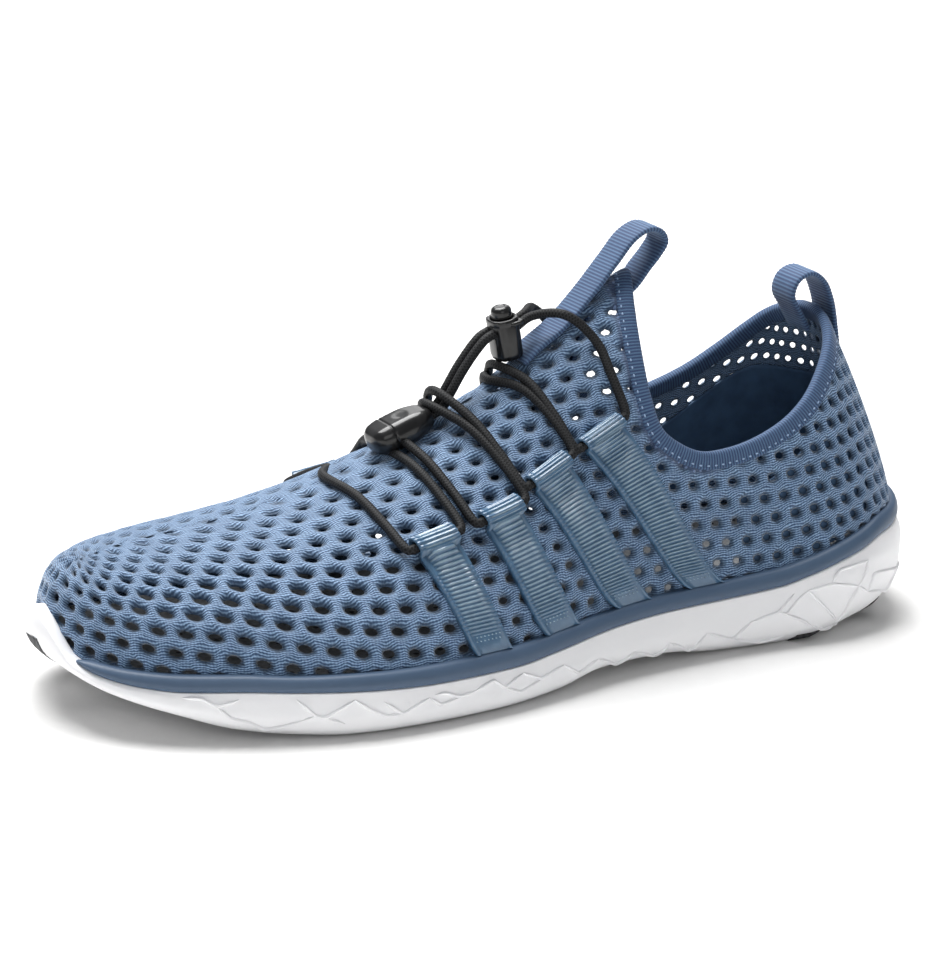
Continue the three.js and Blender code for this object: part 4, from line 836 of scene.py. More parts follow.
class Draft:
    """Collects grids and loose faces, with a map for each corner, and makes one mesh of them."""

    def __init__(self) -> None:
        """Starts empty."""
        self.points: list[Array] = []
        self.faces: list[list[int]] = []
        self.maps: list[Array] = []
        self.size = 0

    def add(self, points: Array, faces: Sequence[Sequence[int]], flat: Optional[Array] = None) -> None:
        """Adds loose faces.

        Args:
            points: Points in millimetres.
            faces: Corner indices into points.
            flat: Map coordinates of each point.
        """
        flat = points[:, :2] if flat is None else flat
        for face in faces:
            self.faces.append([self.size + i for i in face])
            self.maps.append(flat[list(face)])
        self.points.append(points)
        self.size += len(points)

    def grid(
        self, points: Array, wrap_rows: bool = False, wrap_columns: bool = False, flip: bool = False,
        flat: Optional[Array] = None,
    ) -> None:
        """Adds a grid of points as quads.

        Args:
            points: Rows of columns of points.
            wrap_rows: Whether the last row joins the first.
            wrap_columns: Whether the last column joins the first.
            flip: Whether to turn the faces over.
            flat: Map coordinates, with one more row or column where the grid wraps.
        """
        rows, columns = points.shape[:2]
        if flat is None:
            u = np.concatenate([[0], np.cumsum(np.linalg.norm(np.diff(points, axis=0), axis=2).mean(axis=1))])
            v = np.concatenate([[0], np.cumsum(np.linalg.norm(np.diff(points, axis=1), axis=2).mean(axis=0))])
            u = np.append(u, u[-1] + np.linalg.norm(points[0] - points[-1], axis=1).mean()) if wrap_rows else u
            v = np.append(v, v[-1] + np.linalg.norm(points[:, 0] - points[:, -1], axis=1).mean()) if wrap_columns else v
            flat = np.stack(np.meshgrid(u, v, indexing="ij"), -1)
        r = np.arange(rows if wrap_rows else rows - 1)
        c = np.arange(columns if wrap_columns else columns - 1)
        r, c = (a.ravel() for a in np.meshgrid(r, c, indexing="ij"))
        r2, c2 = (r + 1) % rows, (c + 1) % columns
        quads = np.stack([r * columns + c, r * columns + c2, r2 * columns + c2, r2 * columns + c], -1)
        corner = np.stack([flat[r, c], flat[r, c + 1], flat[r + 1, c + 1], flat[r + 1, c]], 1)
        if flip:
            quads, corner = quads[:, ::-1], corner[:, ::-1]
        self.faces.extend((quads + self.size).tolist())
        self.maps.extend(list(corner))
        self.points.append(points.reshape(-1, 3))
        self.size += rows * columns

    def cap(self, ring: Array, flip: bool = False, bulge: Optional[Array] = None) -> None:
        """Closes a ring of points with a fan round its middle.

        Args:
            ring: The ring.
            flip: Whether to turn the faces over.
            bulge: Offset of the middle point.
        """
        middle = ring.mean(axis=0) + (0 if bulge is None else bulge)
        n = len(ring)
        faces = [[i, (i + 1) % n, n] for i in range(n)]
        self.add(np.concatenate([ring, [middle]]), [f[::-1] for f in faces] if flip else faces)

    def mesh(self, name: str) -> bpy.types.Mesh:
        """The mesh, in metres, with its map called fabric."""
        mesh = bpy.data.meshes.new(name)
        mesh.from_pydata((np.concatenate(self.points) * MM).tolist(), [], self.faces)
        layer = mesh.uv_layers.new(name="fabric")
        layer.data.foreach_set("uv", np.concatenate(self.maps).astype(np.float32).ravel())
        mesh.update()
        return mesh


def piece(
    name: str, mesh: bpy.types.Mesh, finish: Finish, replaces: Sequence[str] = (), body: str = "root",
    smooth: bool = True, weld: float = 0.00001,
) -> bpy.types.Object:
    """Makes a finished piece of a mesh.

    Args:
        name: The piece's name.
        mesh: Its mesh in metres.
        finish: Its finish.
        replaces: CAD nodes that it stands for.
        body: The body that it rides on.
        smooth: Whether it is shaded smooth.
        weld: Distance under which points are merged, 0 for none.

    Returns:
        The object.
    """
    obj = bpy.data.objects.new(name, mesh)
    bpy.context.scene.collection.objects.link(obj)
    if weld:
        modifier = obj.modifiers.new("weld", "WELD")
        modifier.merge_threshold = weld
        obj = plain(obj)
    obj.data.materials.clear()
    obj.data.materials.append(finish.material())
    obj.data.polygons.foreach_set("use_smooth", [smooth] * len(obj.data.polygons))
    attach(obj, body)
    if replaces:
        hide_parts(*replaces)
    log.info("%s: %d faces", name, len(obj.data.polygons))
    return obj


def plain(obj: bpy.types.Object) -> bpy.types.Object:
    """Turns an object with modifiers into a plain mesh under the same name."""
    name = obj.name
    graph = bpy.context.evaluated_depsgraph_get()
    mesh = bpy.data.meshes.new_from_object(obj.evaluated_get(graph), preserve_all_data_layers=True, depsgraph=graph)
    bpy.data.objects.remove(obj)
    obj = bpy.data.objects.new(name, mesh)
    bpy.context.scene.collection.objects.link(obj)
    return obj


def mesh_arrays(mesh: bpy.types.Mesh) -> tuple[Array, list[list[int]]]:
    """Points in millimetres and faces of a mesh."""
    points = np.empty(len(mesh.vertices) * 3)
    mesh.vertices.foreach_get("co", points)
    return points.reshape(-1, 3) / MM, [list(p.vertices) for p in mesh.polygons]


class Rows:
    """Geometry Nodes tree that lays copies of one small piece flat in rows, with each second row shifted."""

    INPUTS = (
        ("Columns", "NodeSocketInt"), ("Rows", "NodeSocketInt"), ("Pitch", "NodeSocketFloat"),
        ("Step", "NodeSocketFloat"), ("Shift", "NodeSocketFloat"), ("Material", "NodeSocketMaterial"),
    )

    def __init__(self) -> None:
        """Builds the tree once."""
        self.tree = bpy.data.node_groups.new("rows_of_pieces", "GeometryNodeTree")
        face = self.tree.interface
        face.new_socket("Geometry", in_out="INPUT", socket_type="NodeSocketGeometry")
        for name, kind in self.INPUTS:
            face.new_socket(name, in_out="INPUT", socket_type=kind)
        face.new_socket("Geometry", in_out="OUTPUT", socket_type="NodeSocketGeometry")
        self.entry = self._node("NodeGroupInput")
        one_less = [self._math("SUBTRACT", self._input(name), 1.0) for name in ("Columns", "Rows")]
        wide = self._math("MULTIPLY", one_less[0], self._input("Pitch"))
        high = self._math("MULTIPLY", one_less[1], self._input("Step"))
        grid = self._node("GeometryNodeMeshGrid")
        for key, source in (("Size X", wide), ("Size Y", high), ("Vertices X", self._input("Columns")),
                            ("Vertices Y", self._input("Rows"))):
            self.tree.links.new(source, grid.inputs[key])
        position = self._node("GeometryNodeInputPosition")
        split = self._node("ShaderNodeSeparateXYZ")
        self.tree.links.new(position.outputs[0], split.inputs[0])
        lifted = self._math("ADD", split.outputs[1], self._math("MULTIPLY", high, 0.5))
        row = self._math("ROUND", self._math("DIVIDE", lifted, self._input("Step")), 0.0)
        odd = self._math("MODULO", row, 2.0)
        aside = self._math("MULTIPLY", odd, self._input("Shift"))
        move = self._node("ShaderNodeCombineXYZ")
        self.tree.links.new(self._math("ADD", aside, self._math("MULTIPLY", wide, 0.5)), move.inputs[0])
        self.tree.links.new(self._math("MULTIPLY", high, 0.5), move.inputs[1])
        place = self._node("GeometryNodeSetPosition")
        self.tree.links.new(grid.outputs["Mesh"], place.inputs["Geometry"])
        self.tree.links.new(move.outputs[0], place.inputs["Offset"])
        copies = self._node("GeometryNodeInstanceOnPoints")
        self.tree.links.new(place.outputs[0], copies.inputs["Points"])
        self.tree.links.new(self._input("Geometry"), copies.inputs["Instance"])
        real = self._node("GeometryNodeRealizeInstances")
        self.tree.links.new(copies.outputs[0], real.inputs[0])
        dress = self._node("GeometryNodeSetMaterial")
        self.tree.links.new(real.outputs[0], dress.inputs["Geometry"])
        self.tree.links.new(self._input("Material"), dress.inputs["Material"])
        leave = self._node("NodeGroupOutput")
        self.tree.links.new(dress.outputs[0], leave.inputs[0])

    def _node(self, kind: str) -> bpy.types.Node:
        """A node of the tree."""
        return self.tree.nodes.new(kind)

    def _input(self, name: str) -> bpy.types.NodeSocket:
        """A named input of the tree."""
        return self.entry.outputs[name]

    def _math(self, operation: str, a, b) -> bpy.types.NodeSocket:
        """A Math node on sockets or numbers."""
        node = self._node("ShaderNodeMath")
        node.operation = operation
        for socket, value in zip(node.inputs, (a, b)):
            if isinstance(value, bpy.types.NodeSocket):
                self.tree.links.new(value, socket)
            else:
                socket.default_value = value
        return node.outputs[0]

    def lay(
        self, points: Array, faces: Sequence[Sequence[int]], finish: Finish, columns: int, rows: int,
        pitch: float, step: float, shift: float = 0.0,
    ) -> tuple[Array, list[list[int]]]:
        """Lays the copies.

        Args:
            points: Points of the small piece in millimetres.
            faces: Its faces.
            finish: Its finish.
            columns: Copies in a row.
            rows: Number of rows.
            pitch: Distance between copies in a row.
            step: Distance between rows.
            shift: How far each second row is shifted.

        Returns:
            Points and faces of all the copies, with the first copy's middle at the origin.
        """
        mesh = bpy.data.meshes.new("small_piece")
        mesh.from_pydata((points * MM).tolist(), [], [list(f) for f in faces])
        obj = bpy.data.objects.new("small_piece", mesh)
        bpy.context.scene.collection.objects.link(obj)
        modifier = obj.modifiers.new("rows", "NODES")
        modifier.node_group = self.tree
        values = {"Columns": columns, "Rows": rows, "Pitch": pitch * MM, "Step": step * MM, "Shift": shift * MM,
                  "Material": finish.material()}
        for item in self.tree.interface.items_tree:
            if item.in_out == "INPUT" and item.name in values:
                modifier[item.identifier] = values[item.name]
        obj = plain(obj)
        result = mesh_arrays(obj.data)
        bpy.data.objects.remove(obj)
        return result


ROWS = Rows()


def keep_faces(points: Array, faces: list[list[int]], keep: Array) -> tuple[Array, list[list[int]], Array]:
    """Drops faces and the points that only they use.

    Args:
        points: All points.
        faces: All faces.
        keep: One truth value for each face.

    Returns:
        The points and faces that are left, and the old index of each point.
    """
    kept = [face for face, good in zip(faces, keep) if good]
    used = np.unique(np.array([i for face in kept for i in face], dtype=int))
    new = np.full(len(points), -1)
    new[used] = np.arange(len(used))
    return points[used], [[int(new[i]) for i in face] for face in kept], used


PITCHES = Table(
    ("pitch", "step", "drop", "open"),
    (
        (0.0, 6.3, 5.7, 25.0, 1.1), (0.1, 6.4, 5.8, 24.0, 1.1), (0.22, 7.0, 6.0, 20.5, 0.9), (0.33, 7.1, 6.0, 17.5, 0.8),
        (0.48, 7.4, 6.1, 13.5, 0.85), (0.62, 8.3, 6.4, 10.5, 1.0), (0.7, 8.5, 6.6, 8.9, 1.05), (0.8, 8.5, 6.5, 5.0, 1.1),
        (0.9, 8.5, 6.0, 0.6, 1.1), (0.96, 8.4, 5.5, -1.5, 1.1), (1.0, 8.4, 5.2, -2.0, 1.05),
    ),
)


@dataclass
class KnitUpper:
    """Perforated knit, laid flat cell by cell and drawn over the last."""

    hole_long: float = 0.215
    hole_high: float = 0.175
    rows: int = 27
    first_row: float = -1.0
    margin_wall: float = 1.5
    rings: tuple[tuple[float, float], ...] = (
        (0.0, 0.6), (0.36, 0.5), (0.58, 0.08), (0.76, -0.6), (1.0, -1.05), (0.92, -1.35), (0.5, -1.5), (0.0, -1.5),
    )

    def cell(self) -> tuple[Array, list[list[int]]]:
        """One six-sided cell with an oval hole, in shares of a pitch and a step, raised along its border."""
        corner = np.array([(0.5, 1 / 3), (0, 2 / 3), (-0.5, 1 / 3), (-0.5, -1 / 3), (0, -2 / 3), (0.5, -1 / 3)])
        border = np.stack([corner, (corner + np.roll(corner, -1, axis=0)) / 2], 1).reshape(-1, 2)
        turn = np.arctan2(border[:, 1], border[:, 0])
        hole = np.stack([self.hole_long * np.cos(turn), self.hole_high * np.sin(turn)], -1)
        rings = self.rings
        levels = [np.column_stack([border + (hole - border) * t, np.full(12, h)]) for t, h in rings]
        faces = []
        for r in range(len(rings) - 1):
            for i in range(12):
                j = (i + 1) % 12
                faces.append([r * 12 + i, r * 12 + j, (r + 1) * 12 + j, (r + 1) * 12 + i])
        return np.concatenate(levels), faces

    def columns(self) -> tuple[Array, int]:
        """Ring place for each column border, and the number of columns."""
        density = LAST.step / PITCHES.read("pitch", LAST.share)
        run = np.concatenate([[0], np.cumsum(density)])
        count = int(round(run[-1]))
        return np.interp(np.arange(count + 1), run * count / run[-1], np.arange(LAST.count + 1)), count

    def draw(self, flat: Array, places: Array, count: int) -> tuple[Array, ...]:
        """Draws flat points over the last.

        Args:
            flat: Points in columns, rows and millimetres over the skin.
            places: Ring place of each column border.
            count: Number of columns.

        Returns:
            Points in millimetres, and the arc length of each over the feather line less the reach of its section.
        """
        k = np.interp(np.mod(flat[:, 0], count), np.arange(count + 1), places) % LAST.count
        at = np.interp(k, np.arange(LAST.count + 1), np.append(LAST.share, LAST.share[0]))
        reach = np.interp(k, np.arange(LAST.count + 1), np.append(LAST.reach, LAST.reach[0]))
        arc = flat[:, 1] * PITCHES.read("step", at) - PITCHES.read("drop", at)
        spare = arc - reach
        turn = LAST.turn_at(k, np.clip(arc, 0, reach))
        point = LAST.lookup(LAST.skin, k, turn)
        normal = LAST.lookup(LAST.skin_normal, k, turn)
        up = LAST.lookup(np.gradient(LAST.skin, axis=1), k, np.minimum(turn, LAST.TURNS - 1.0))
        point = point + unit(up) * np.clip(spare, 0, 0.5)[:, None] + normal * flat[:, 2:3]
        point[:, 2] += np.minimum(arc, 0)
        return point, spare, arc, at, k

    def build(self) -> None:
        """Lays, draws and trims the knit, and adds the margin under the rand."""
        places, count = self.columns()
        cell, faces = self.cell()
        flat, faces = ROWS.lay(cell, faces, KNIT, count, self.rows, 1.0, 1.0, 0.5)
        flat[:, 1] += self.first_row
        self._close_holes(flat, places, count)
        point, spare, arc, at, k = self.draw(flat, places, count)
        line = over_collar(point)
        corners = np.array(faces)[:, ::-1]
        pit = np.tile(np.repeat([min(share, 1.0) for share, _ in self.rings], 12), len(flat) // (12 * len(self.rings)))
        keep = (spare[corners].min(axis=1) < 0.3) & (arc[corners].max(axis=1) > -2.5)
        keep &= line[corners].max(axis=1) < -1.2
        around = np.interp(k, np.arange(LAST.count + 1), np.concatenate([[0], np.cumsum(LAST.step)]))
        outer = k[corners].mean(axis=1) < LAST.HALF
        for name, half in (("knit_outer_side", outer), ("knit_inner_side", ~outer)):
            some, kept, used = keep_faces(point, corners.tolist(), keep & half)
            draft = Draft()
            draft.add(some, kept, np.column_stack([around[used], arc[used] + 0.6 * pit[used]]))
            mesh = draft.mesh(name + "_mesh")
            edge = smooth_step((line[used] + 6.6) / 1.0) * smooth_step((at[used] - 0.27) / 0.03)
            layer = mesh.attributes.new("edge", "FLOAT", "POINT")
            layer.data.foreach_set("value", edge.astype(np.float32))
            # mask for the painted shade in the dimples, rising from the dimple's slope into its hole
            layer = mesh.attributes.new("pit", "FLOAT", "POINT")
            layer.data.foreach_set("value", smooth_step((pit[used] - 0.45) / 0.4).astype(np.float32))
            piece(name, mesh, KNIT, ["upper"], weld=0.00002)
        self._margin()

    def _close_holes(self, flat: Array, places: Array, count: int) -> None:
        """Narrows the holes where the knit is denser, moving flat points in place."""
        cells = flat.reshape(-1, 12 * len(self.rings), 3).copy()
        middle = cells[:, :, :2].mean(axis=1)
        k = np.interp(np.mod(middle[:, 0], count), np.arange(count + 1), places) % LAST.count
        at = np.interp(k, np.arange(LAST.count + 1), np.append(LAST.share, LAST.share[0]))
        reach = np.interp(k, np.arange(LAST.count + 1), np.append(LAST.reach, LAST.reach[0]))
        arc = middle[:, 1] * PITCHES.read("step", at) - PITCHES.read("drop", at)
        openness = PITCHES.read("open", at) * (1 - smooth_step((arc - reach + 3.2) / 1.6))
        openness = openness * (1 - 0.38 * smooth_step((arc / reach - 0.4) / 0.35) * smooth_step((at - 0.5) / 0.1))
        drawn = self.draw(np.column_stack([middle, np.zeros(len(middle))]), places, count)[0]
        openness = np.maximum(openness * smooth_step((-5.0 - over_collar(drawn)) / 1.4), 0.03)
        local = cells[:, :, :2] - middle[:, None]
        hole = local[:, 48:60].copy()
        for ring, (share, _) in enumerate(self.rings):
            span = slice(ring * 12, ring * 12 + 12)
            cells[:, span, :2] += hole * ((openness - 1) * share)[:, None, None]
            if ring < 5:
                depth = cells[:, span, 2]
                cells[:, span, 2] = np.where(depth < 0, depth * openness[:, None], depth)
        lean = smooth_step((0.24 - at) / 0.15)[:, None] * 0.35
        inner = slice(12, 84)
        cells[:, inner, 0] += lean * (cells[:, inner, 1] - middle[:, None, 1])
        flat[:] = cells.reshape(-1, 3)

    def _margin(self) -> None:
        """Plain strip of the knit from the feather line down to the footbed."""
        draft = Draft()
        outer = LAST.inset(SIDE_WALL + CLEARANCE, rand_top_z)
        top = outer[:, 2] - 0.5
        rows = []
        for inset, level in ((0, 0), (0, 1), (self.margin_wall, 1), (self.margin_wall, 0)):
            ring = LAST.inset(SIDE_WALL + CLEARANCE + inset, floor_z)
            low = ring[:, 2] + 0.4
            ring[:, 2] = low + (np.maximum(top, low + 1) - low) * level
            rows.append(ring)
        draft.grid(np.stack(rows, 1), wrap_rows=True, wrap_columns=True)
        piece("knit_margin", draft.mesh("knit_margin_mesh"), KNIT)


@dataclass
class Stage:
    """Camera at the photograph's angle, pale floor and soft studio light."""

    target: tuple[float, float, float] = (0.0, 0.0, 50.0)
    azimuth: float = 60.0
    elevation: float = 17.285
    roll: float = 1.91
    distance: float = 1184.66
    focal_pixels: float = 3998.3
    frame_long: float = 960.0
    centre: tuple[float, float] = (493.09, 269.31)
    aside: float = 23.1
    down: float = 7.3

    def directions(self) -> tuple[Array, Array, Array]:
        """The camera's right, up and back."""
        a, e, r = (math.radians(v) for v in (self.azimuth, self.elevation, self.roll))
        back = np.array([math.sin(a) * math.cos(e), -math.cos(a) * math.cos(e), math.sin(e)])
        right = unit(np.cross(-back, [0, 0, 1]))
        up = np.cross(right, -back)
        return right * math.cos(r) + up * math.sin(r), up * math.cos(r) - right * math.sin(r), back

    def pixels(self, points: Array) -> Array:
        """Where points fall in the photograph.

        Args:
            points: Points in millimetres.

        Returns:
            Photograph pixels, one row each.
        """
        right, up, back = self.directions()
        seen = points - np.array(self.target)
        scale = self.focal_pixels / (self.distance - seen @ back)
        return np.stack([self.centre[0] + seen @ right * scale, self.centre[1] - seen @ up * scale], -1)

    def build(self) -> None:
        """Makes the camera, the floor and the lights."""
        right, up, back = self.directions()
        data = bpy.data.cameras.new("camera")
        camera = bpy.data.objects.new("camera", data)
        bpy.context.scene.collection.objects.link(camera)
        place = (np.array(self.target) + self.distance * back) * MM
        camera.matrix_world = Matrix(
            [[right[i], up[i], back[i], place[i]] for i in range(3)] + [[0, 0, 0, 1]]
        )
        data.sensor_width = 36.0
        data.lens = self.focal_pixels / self.frame_long * data.sensor_width
        data.shift_x = -self.aside / self.frame_long
        data.shift_y = self.down / self.frame_long
        data.clip_end = 20.0
        bpy.context.scene.camera = camera
        self._floor()
        self._light("top", (-0.6, -0.08, 1.55), 1.3, 60.0)
        self._light("front", (1.7, -0.5, 0.9), 0.9, 4.0)
        self._light("back", (-1.5, 0.9, 1.1), 1.0, 5.0)
        world = bpy.data.worlds.new("studio")
        world.use_nodes = True
        background = world.node_tree.nodes["Background"]
        background.inputs["Color"].default_value = (0.95, 0.97, 1.0, 1.0)
        background.inputs["Strength"].default_value = 0.27
        bpy.context.scene.world = world
        bpy.context.scene.view_settings.view_transform = "Standard"

    def _floor(self) -> None:
        """Pale floor with a faint, even grain."""
        shader = Shader("floor_paper")
        grain = shader.noise(shader.objects(), 300.0, 3.0)
        shader.set(Base_Color=shader.mix(grain, (0.77, 0.765, 0.755), (0.8, 0.795, 0.785)), Roughness=0.9)
        mesh = bpy.data.meshes.new("floor")
        mesh.from_pydata([(-6, -6, 0), (6, -6, 0), (6, 6, 0), (-6, 6, 0)], [], [(0, 1, 2, 3)])
        floor = bpy.data.objects.new("floor", mesh)
        mesh.materials.append(shader.material)
        bpy.context.scene.collection.objects.link(floor)

    def _light(self, name: str, place: tuple[float, float, float], size: float, power: float) -> None:
        """A square soft light aimed at the shoe."""
        data = bpy.data.lights.new(name, "AREA")
        data.size = size
        data.energy = power
        light = bpy.data.objects.new(name, data)
        light.location = place
        light.rotation_euler = (Vector((0, 0, 0.05)) - Vector(place)).to_track_quat("-Z", "Y").to_euler()
        bpy.context.scene.collection.objects.link(light)


LOCK_SEAT = (0.4735, 0.747, -0.031, 11.0)
CLIP_SEAT = (0.596, 0.595, -0.035, 20.0)
LOCK_DIAMETER = 8.8
LOCK_HEIGHT = 13.0
PLUNGER_DIAMETER = 6.2
PLUNGER_DEPTH = 7.0
PLUNGER_TRAVEL = 3.0
CLIP_LENGTH = 20.5
CLIP_WIDTH = 13.0
CLIP_THICKNESS = 9.5
PORT_HEIGHT = LOCK_HEIGHT * 0.72
PORT_SPREAD = LACE_DIAMETER / 2 + LACE_PLAY


class Side(Enum):
    """A side of the foot."""

    LATERAL = 1
    MEDIAL = -1


def spot(at: float, climb: float, side: int, out: float) -> Array:
    """One point over the skin."""
    return LAST.on_upper(at, climb, side, out)[0]


def path_frames(path: Array, closed: bool = False, up: Sequence[float] = (0.0, 0.0, 1.0)) -> tuple[Array, Array, Array]:
    """Directions along a path that turn as little as they can.

    Args:
        path: The path's points.
        closed: Whether it closes.
        up: Direction that the second frame vector starts from.

    Returns:
        Directions along, across and up, one row for each point.
    """
    along = unit(np.roll(path, -1, axis=0) - np.roll(path, 1, axis=0)) if closed else unit(np.gradient(path, axis=0))
    lift = np.array(up, float)
    if abs(lift @ along[0]) > 0.95:
        lift = np.array([1.0, 0.0, 0.0])
    ups = []
    for direction in along:
        lift = unit(lift - direction * (lift @ direction))
        ups.append(lift)
    ups = np.array(ups)
    return along, np.cross(along, ups), ups


def tube(draft: Draft, path: Array, radius: Union[float, Array], sides: int = 10, caps: bool = True) -> None:
    """Adds a round tube along a path.

    Args:
        draft: Where it goes.
        path: The path's points.
        radius: One radius, or one for each point.
        sides: Number of sides.
        caps: Whether its ends are closed with low domes.
    """
    along, across, ups = path_frames(path)
    turn = np.arange(sides) * 2 * np.pi / sides
    r = np.broadcast_to(radius, len(path))[:, None, None]
    rings = path[:, None] + r * (across[:, None] * np.cos(turn)[None, :, None] + ups[:, None] * np.sin(turn)[None, :, None])
    run = np.concatenate([[0], np.cumsum(np.linalg.norm(np.diff(path, axis=0), axis=1))])
    around = np.arange(sides + 1) * 2 * np.pi / sides * float(np.mean(r))
    draft.grid(rings, wrap_columns=True, flip=True, flat=np.stack(np.meshgrid(run, around, indexing="ij"), -1))
    if caps:
        draft.cap(rings[0], bulge=-along[0] * float(r[0, 0, 0]) * 0.4)
        draft.cap(rings[-1], flip=True, bulge=along[-1] * float(r[-1, 0, 0]) * 0.4)


def outward(mesh: bpy.types.Mesh, merge: float = 0.00001) -> bpy.types.Mesh:
    """Merges a closed mesh's doubles and turns its faces outwards."""
    work = bmesh.new()
    work.from_mesh(mesh)
    bmesh.ops.remove_doubles(work, verts=work.verts, dist=merge)
    bmesh.ops.recalc_face_normals(work, faces=work.faces)
    work.to_mesh(mesh)
    work.free()
    return mesh


def seat_matrix(seat: tuple[float, float, float, float]) -> tuple[Array, Array]:
    """Turn and place of a seat."""
    at, height, across, lean = seat
    c, s = math.cos(math.radians(lean)), math.sin(math.radians(lean))
    return np.array([[1, 0, 0], [0, c, -s], [0, s, c]]), np.array([across * BALL_WIDTH, along_y(at), height * PEAK_HEIGHT])


def seated(points: Array, seat: tuple[float, float, float, float]) -> Array:
    """Points in a seat's own directions, put in place."""
    turn, place = seat_matrix(seat)
    return points @ turn.T + place


def dome(radius: float, height: float, sides: int = 8) -> tuple[Array, list[list[int]]]:
    """Low round dot with its base at 0.

    Args:
        radius: Its radius.
        height: Its height.
        sides: Number of sides.

    Returns:
        Its points and faces.
    """
    turn = np.arange(sides) * 2 * np.pi / sides
    rings = [np.column_stack([r * np.cos(turn), r * np.sin(turn), np.full(sides, h)]) for r, h in (
        (radius, -height), (radius * 0.95, height * 0.3), (radius * 0.6, height * 0.85))]
    points = np.concatenate([*rings, [[0, 0, height]]])
    faces = [[r * sides + i, r * sides + (i + 1) % sides, (r + 1) * sides + (i + 1) % sides, (r + 1) * sides + i]
             for r in range(2) for i in range(sides)]
    faces += [[2 * sides + i, 2 * sides + (i + 1) % sides, 3 * sides] for i in range(sides)]
    faces.append([sides - 1 - i for i in range(sides)])
    return points, faces


class CollarBand:
    """Path of the collar on the skin, with the directions into the upper."""

    def __init__(self, step: float = 0.5) -> None:
        """Finds where the collar's line meets the skin.

        Args:
            step: Distance between the path's points.
        """
        order = np.arange(-LAST.HALF, LAST.HALF + 1)
        f = over_collar(LAST.skin[order % LAST.count].reshape(-1, 3)).reshape(len(order), -1)
        inside = f > 0
        total = inside[:-1, :-1].astype(int) + inside[1:, :-1] + inside[1:, 1:] + inside[:-1, 1:]
        links: dict[tuple, list[tuple]] = {}
        for i, j in np.argwhere((total > 0) & (total < 4)).tolist():
            corners = [(i, j), (i + 1, j), (i + 1, j + 1), (i, j + 1)]
            cut = [tuple(sorted((a, b))) for a, b in zip(corners, corners[1:] + corners[:1]) if inside[a] != inside[b]]
            if len(cut) == 2:
                links.setdefault(cut[0], []).append(cut[1])
                links.setdefault(cut[1], []).append(cut[0])
        best: list[tuple] = []
        seen: set[tuple] = set()
        for start in [key for key, value in links.items() if len(value) == 1]:
            if start in seen:
                continue
            chain = [start]
            while True:
                seen.add(chain[-1])
                ahead = [key for key in links[chain[-1]] if key not in seen]
                if not ahead:
                    break
                chain.append(ahead[0])
            best = chain if len(chain) > len(best) else best
        rows = []
        for a, b in best:
            t = f[a] / (f[a] - f[b])
            rows.append((order[a[0]] + (b[0] - a[0]) * t, a[1] + (b[1] - a[1]) * t))
        place = np.array(rows)
        points = LAST.lookup(LAST.skin, place[:, 0], np.clip(place[:, 1], 0, LAST.TURNS))
        points = even(points, int(line_length(points) / step), closed=True)
        for _ in range(6):
            points = (np.roll(points, 1, axis=0) + points * 2 + np.roll(points, -1, axis=0)) / 4
        self.tree = KDTree(LAST.skin[:, :, 0].size)
        self.flat = LAST.skin.reshape(-1, 3)
        self.normals = LAST.skin_normal.reshape(-1, 3)
        for index, co in enumerate(self.flat):
            self.tree.insert(co, index)
        self.tree.balance()
        self.path, normal = self.drop(points)
        along = unit(np.roll(self.path, -1, axis=0) - np.roll(self.path, 1, axis=0))
        into = unit(np.cross(along, normal))
        sense = np.sign(np.median(over_collar(self.path) - over_collar(self.path + into * 3)))
        self.into = into * sense
        for _ in range(4):
            self.into = unit(np.roll(self.into, 1, axis=0) + self.into * 2 + np.roll(self.into, -1, axis=0))
        gaps = np.linalg.norm(np.roll(self.path, -1, axis=0) - self.path, axis=1)
        self.run = np.concatenate([[0], np.cumsum(gaps)])

    def drop(self, points: Array) -> tuple[Array, Array]:
        """Nearest places on the skin and their normals."""
        index = np.array([self.tree.find(p)[1] for p in points])
        normal = self.normals[index]
        return points - normal * ((points - self.flat[index]) * normal).sum(axis=1)[:, None], normal

    def points(self, run: Array, width: Array, out: Array) -> Array:
        """Points along the band.

        Args:
            run: Distances along the collar.
            width: Distances from the edge into the upper.
            out: Steps over the skin.

        Returns:
            One point each.
        """
        run = np.mod(run, self.run[-1])
        i = np.clip(np.searchsorted(self.run, run, side="right") - 1, 0, len(self.path) - 1)
        t = ((run - self.run[i]) / (self.run[i + 1] - self.run[i]))[:, None]
        j = (i + 1) % len(self.path)
        base = self.path[i] * (1 - t) + self.path[j] * t
        into = unit(self.into[i] * (1 - t) + self.into[j] * t)
        place, normal = self.drop(base + into * width[:, None])
        return place + normal * out[:, None]


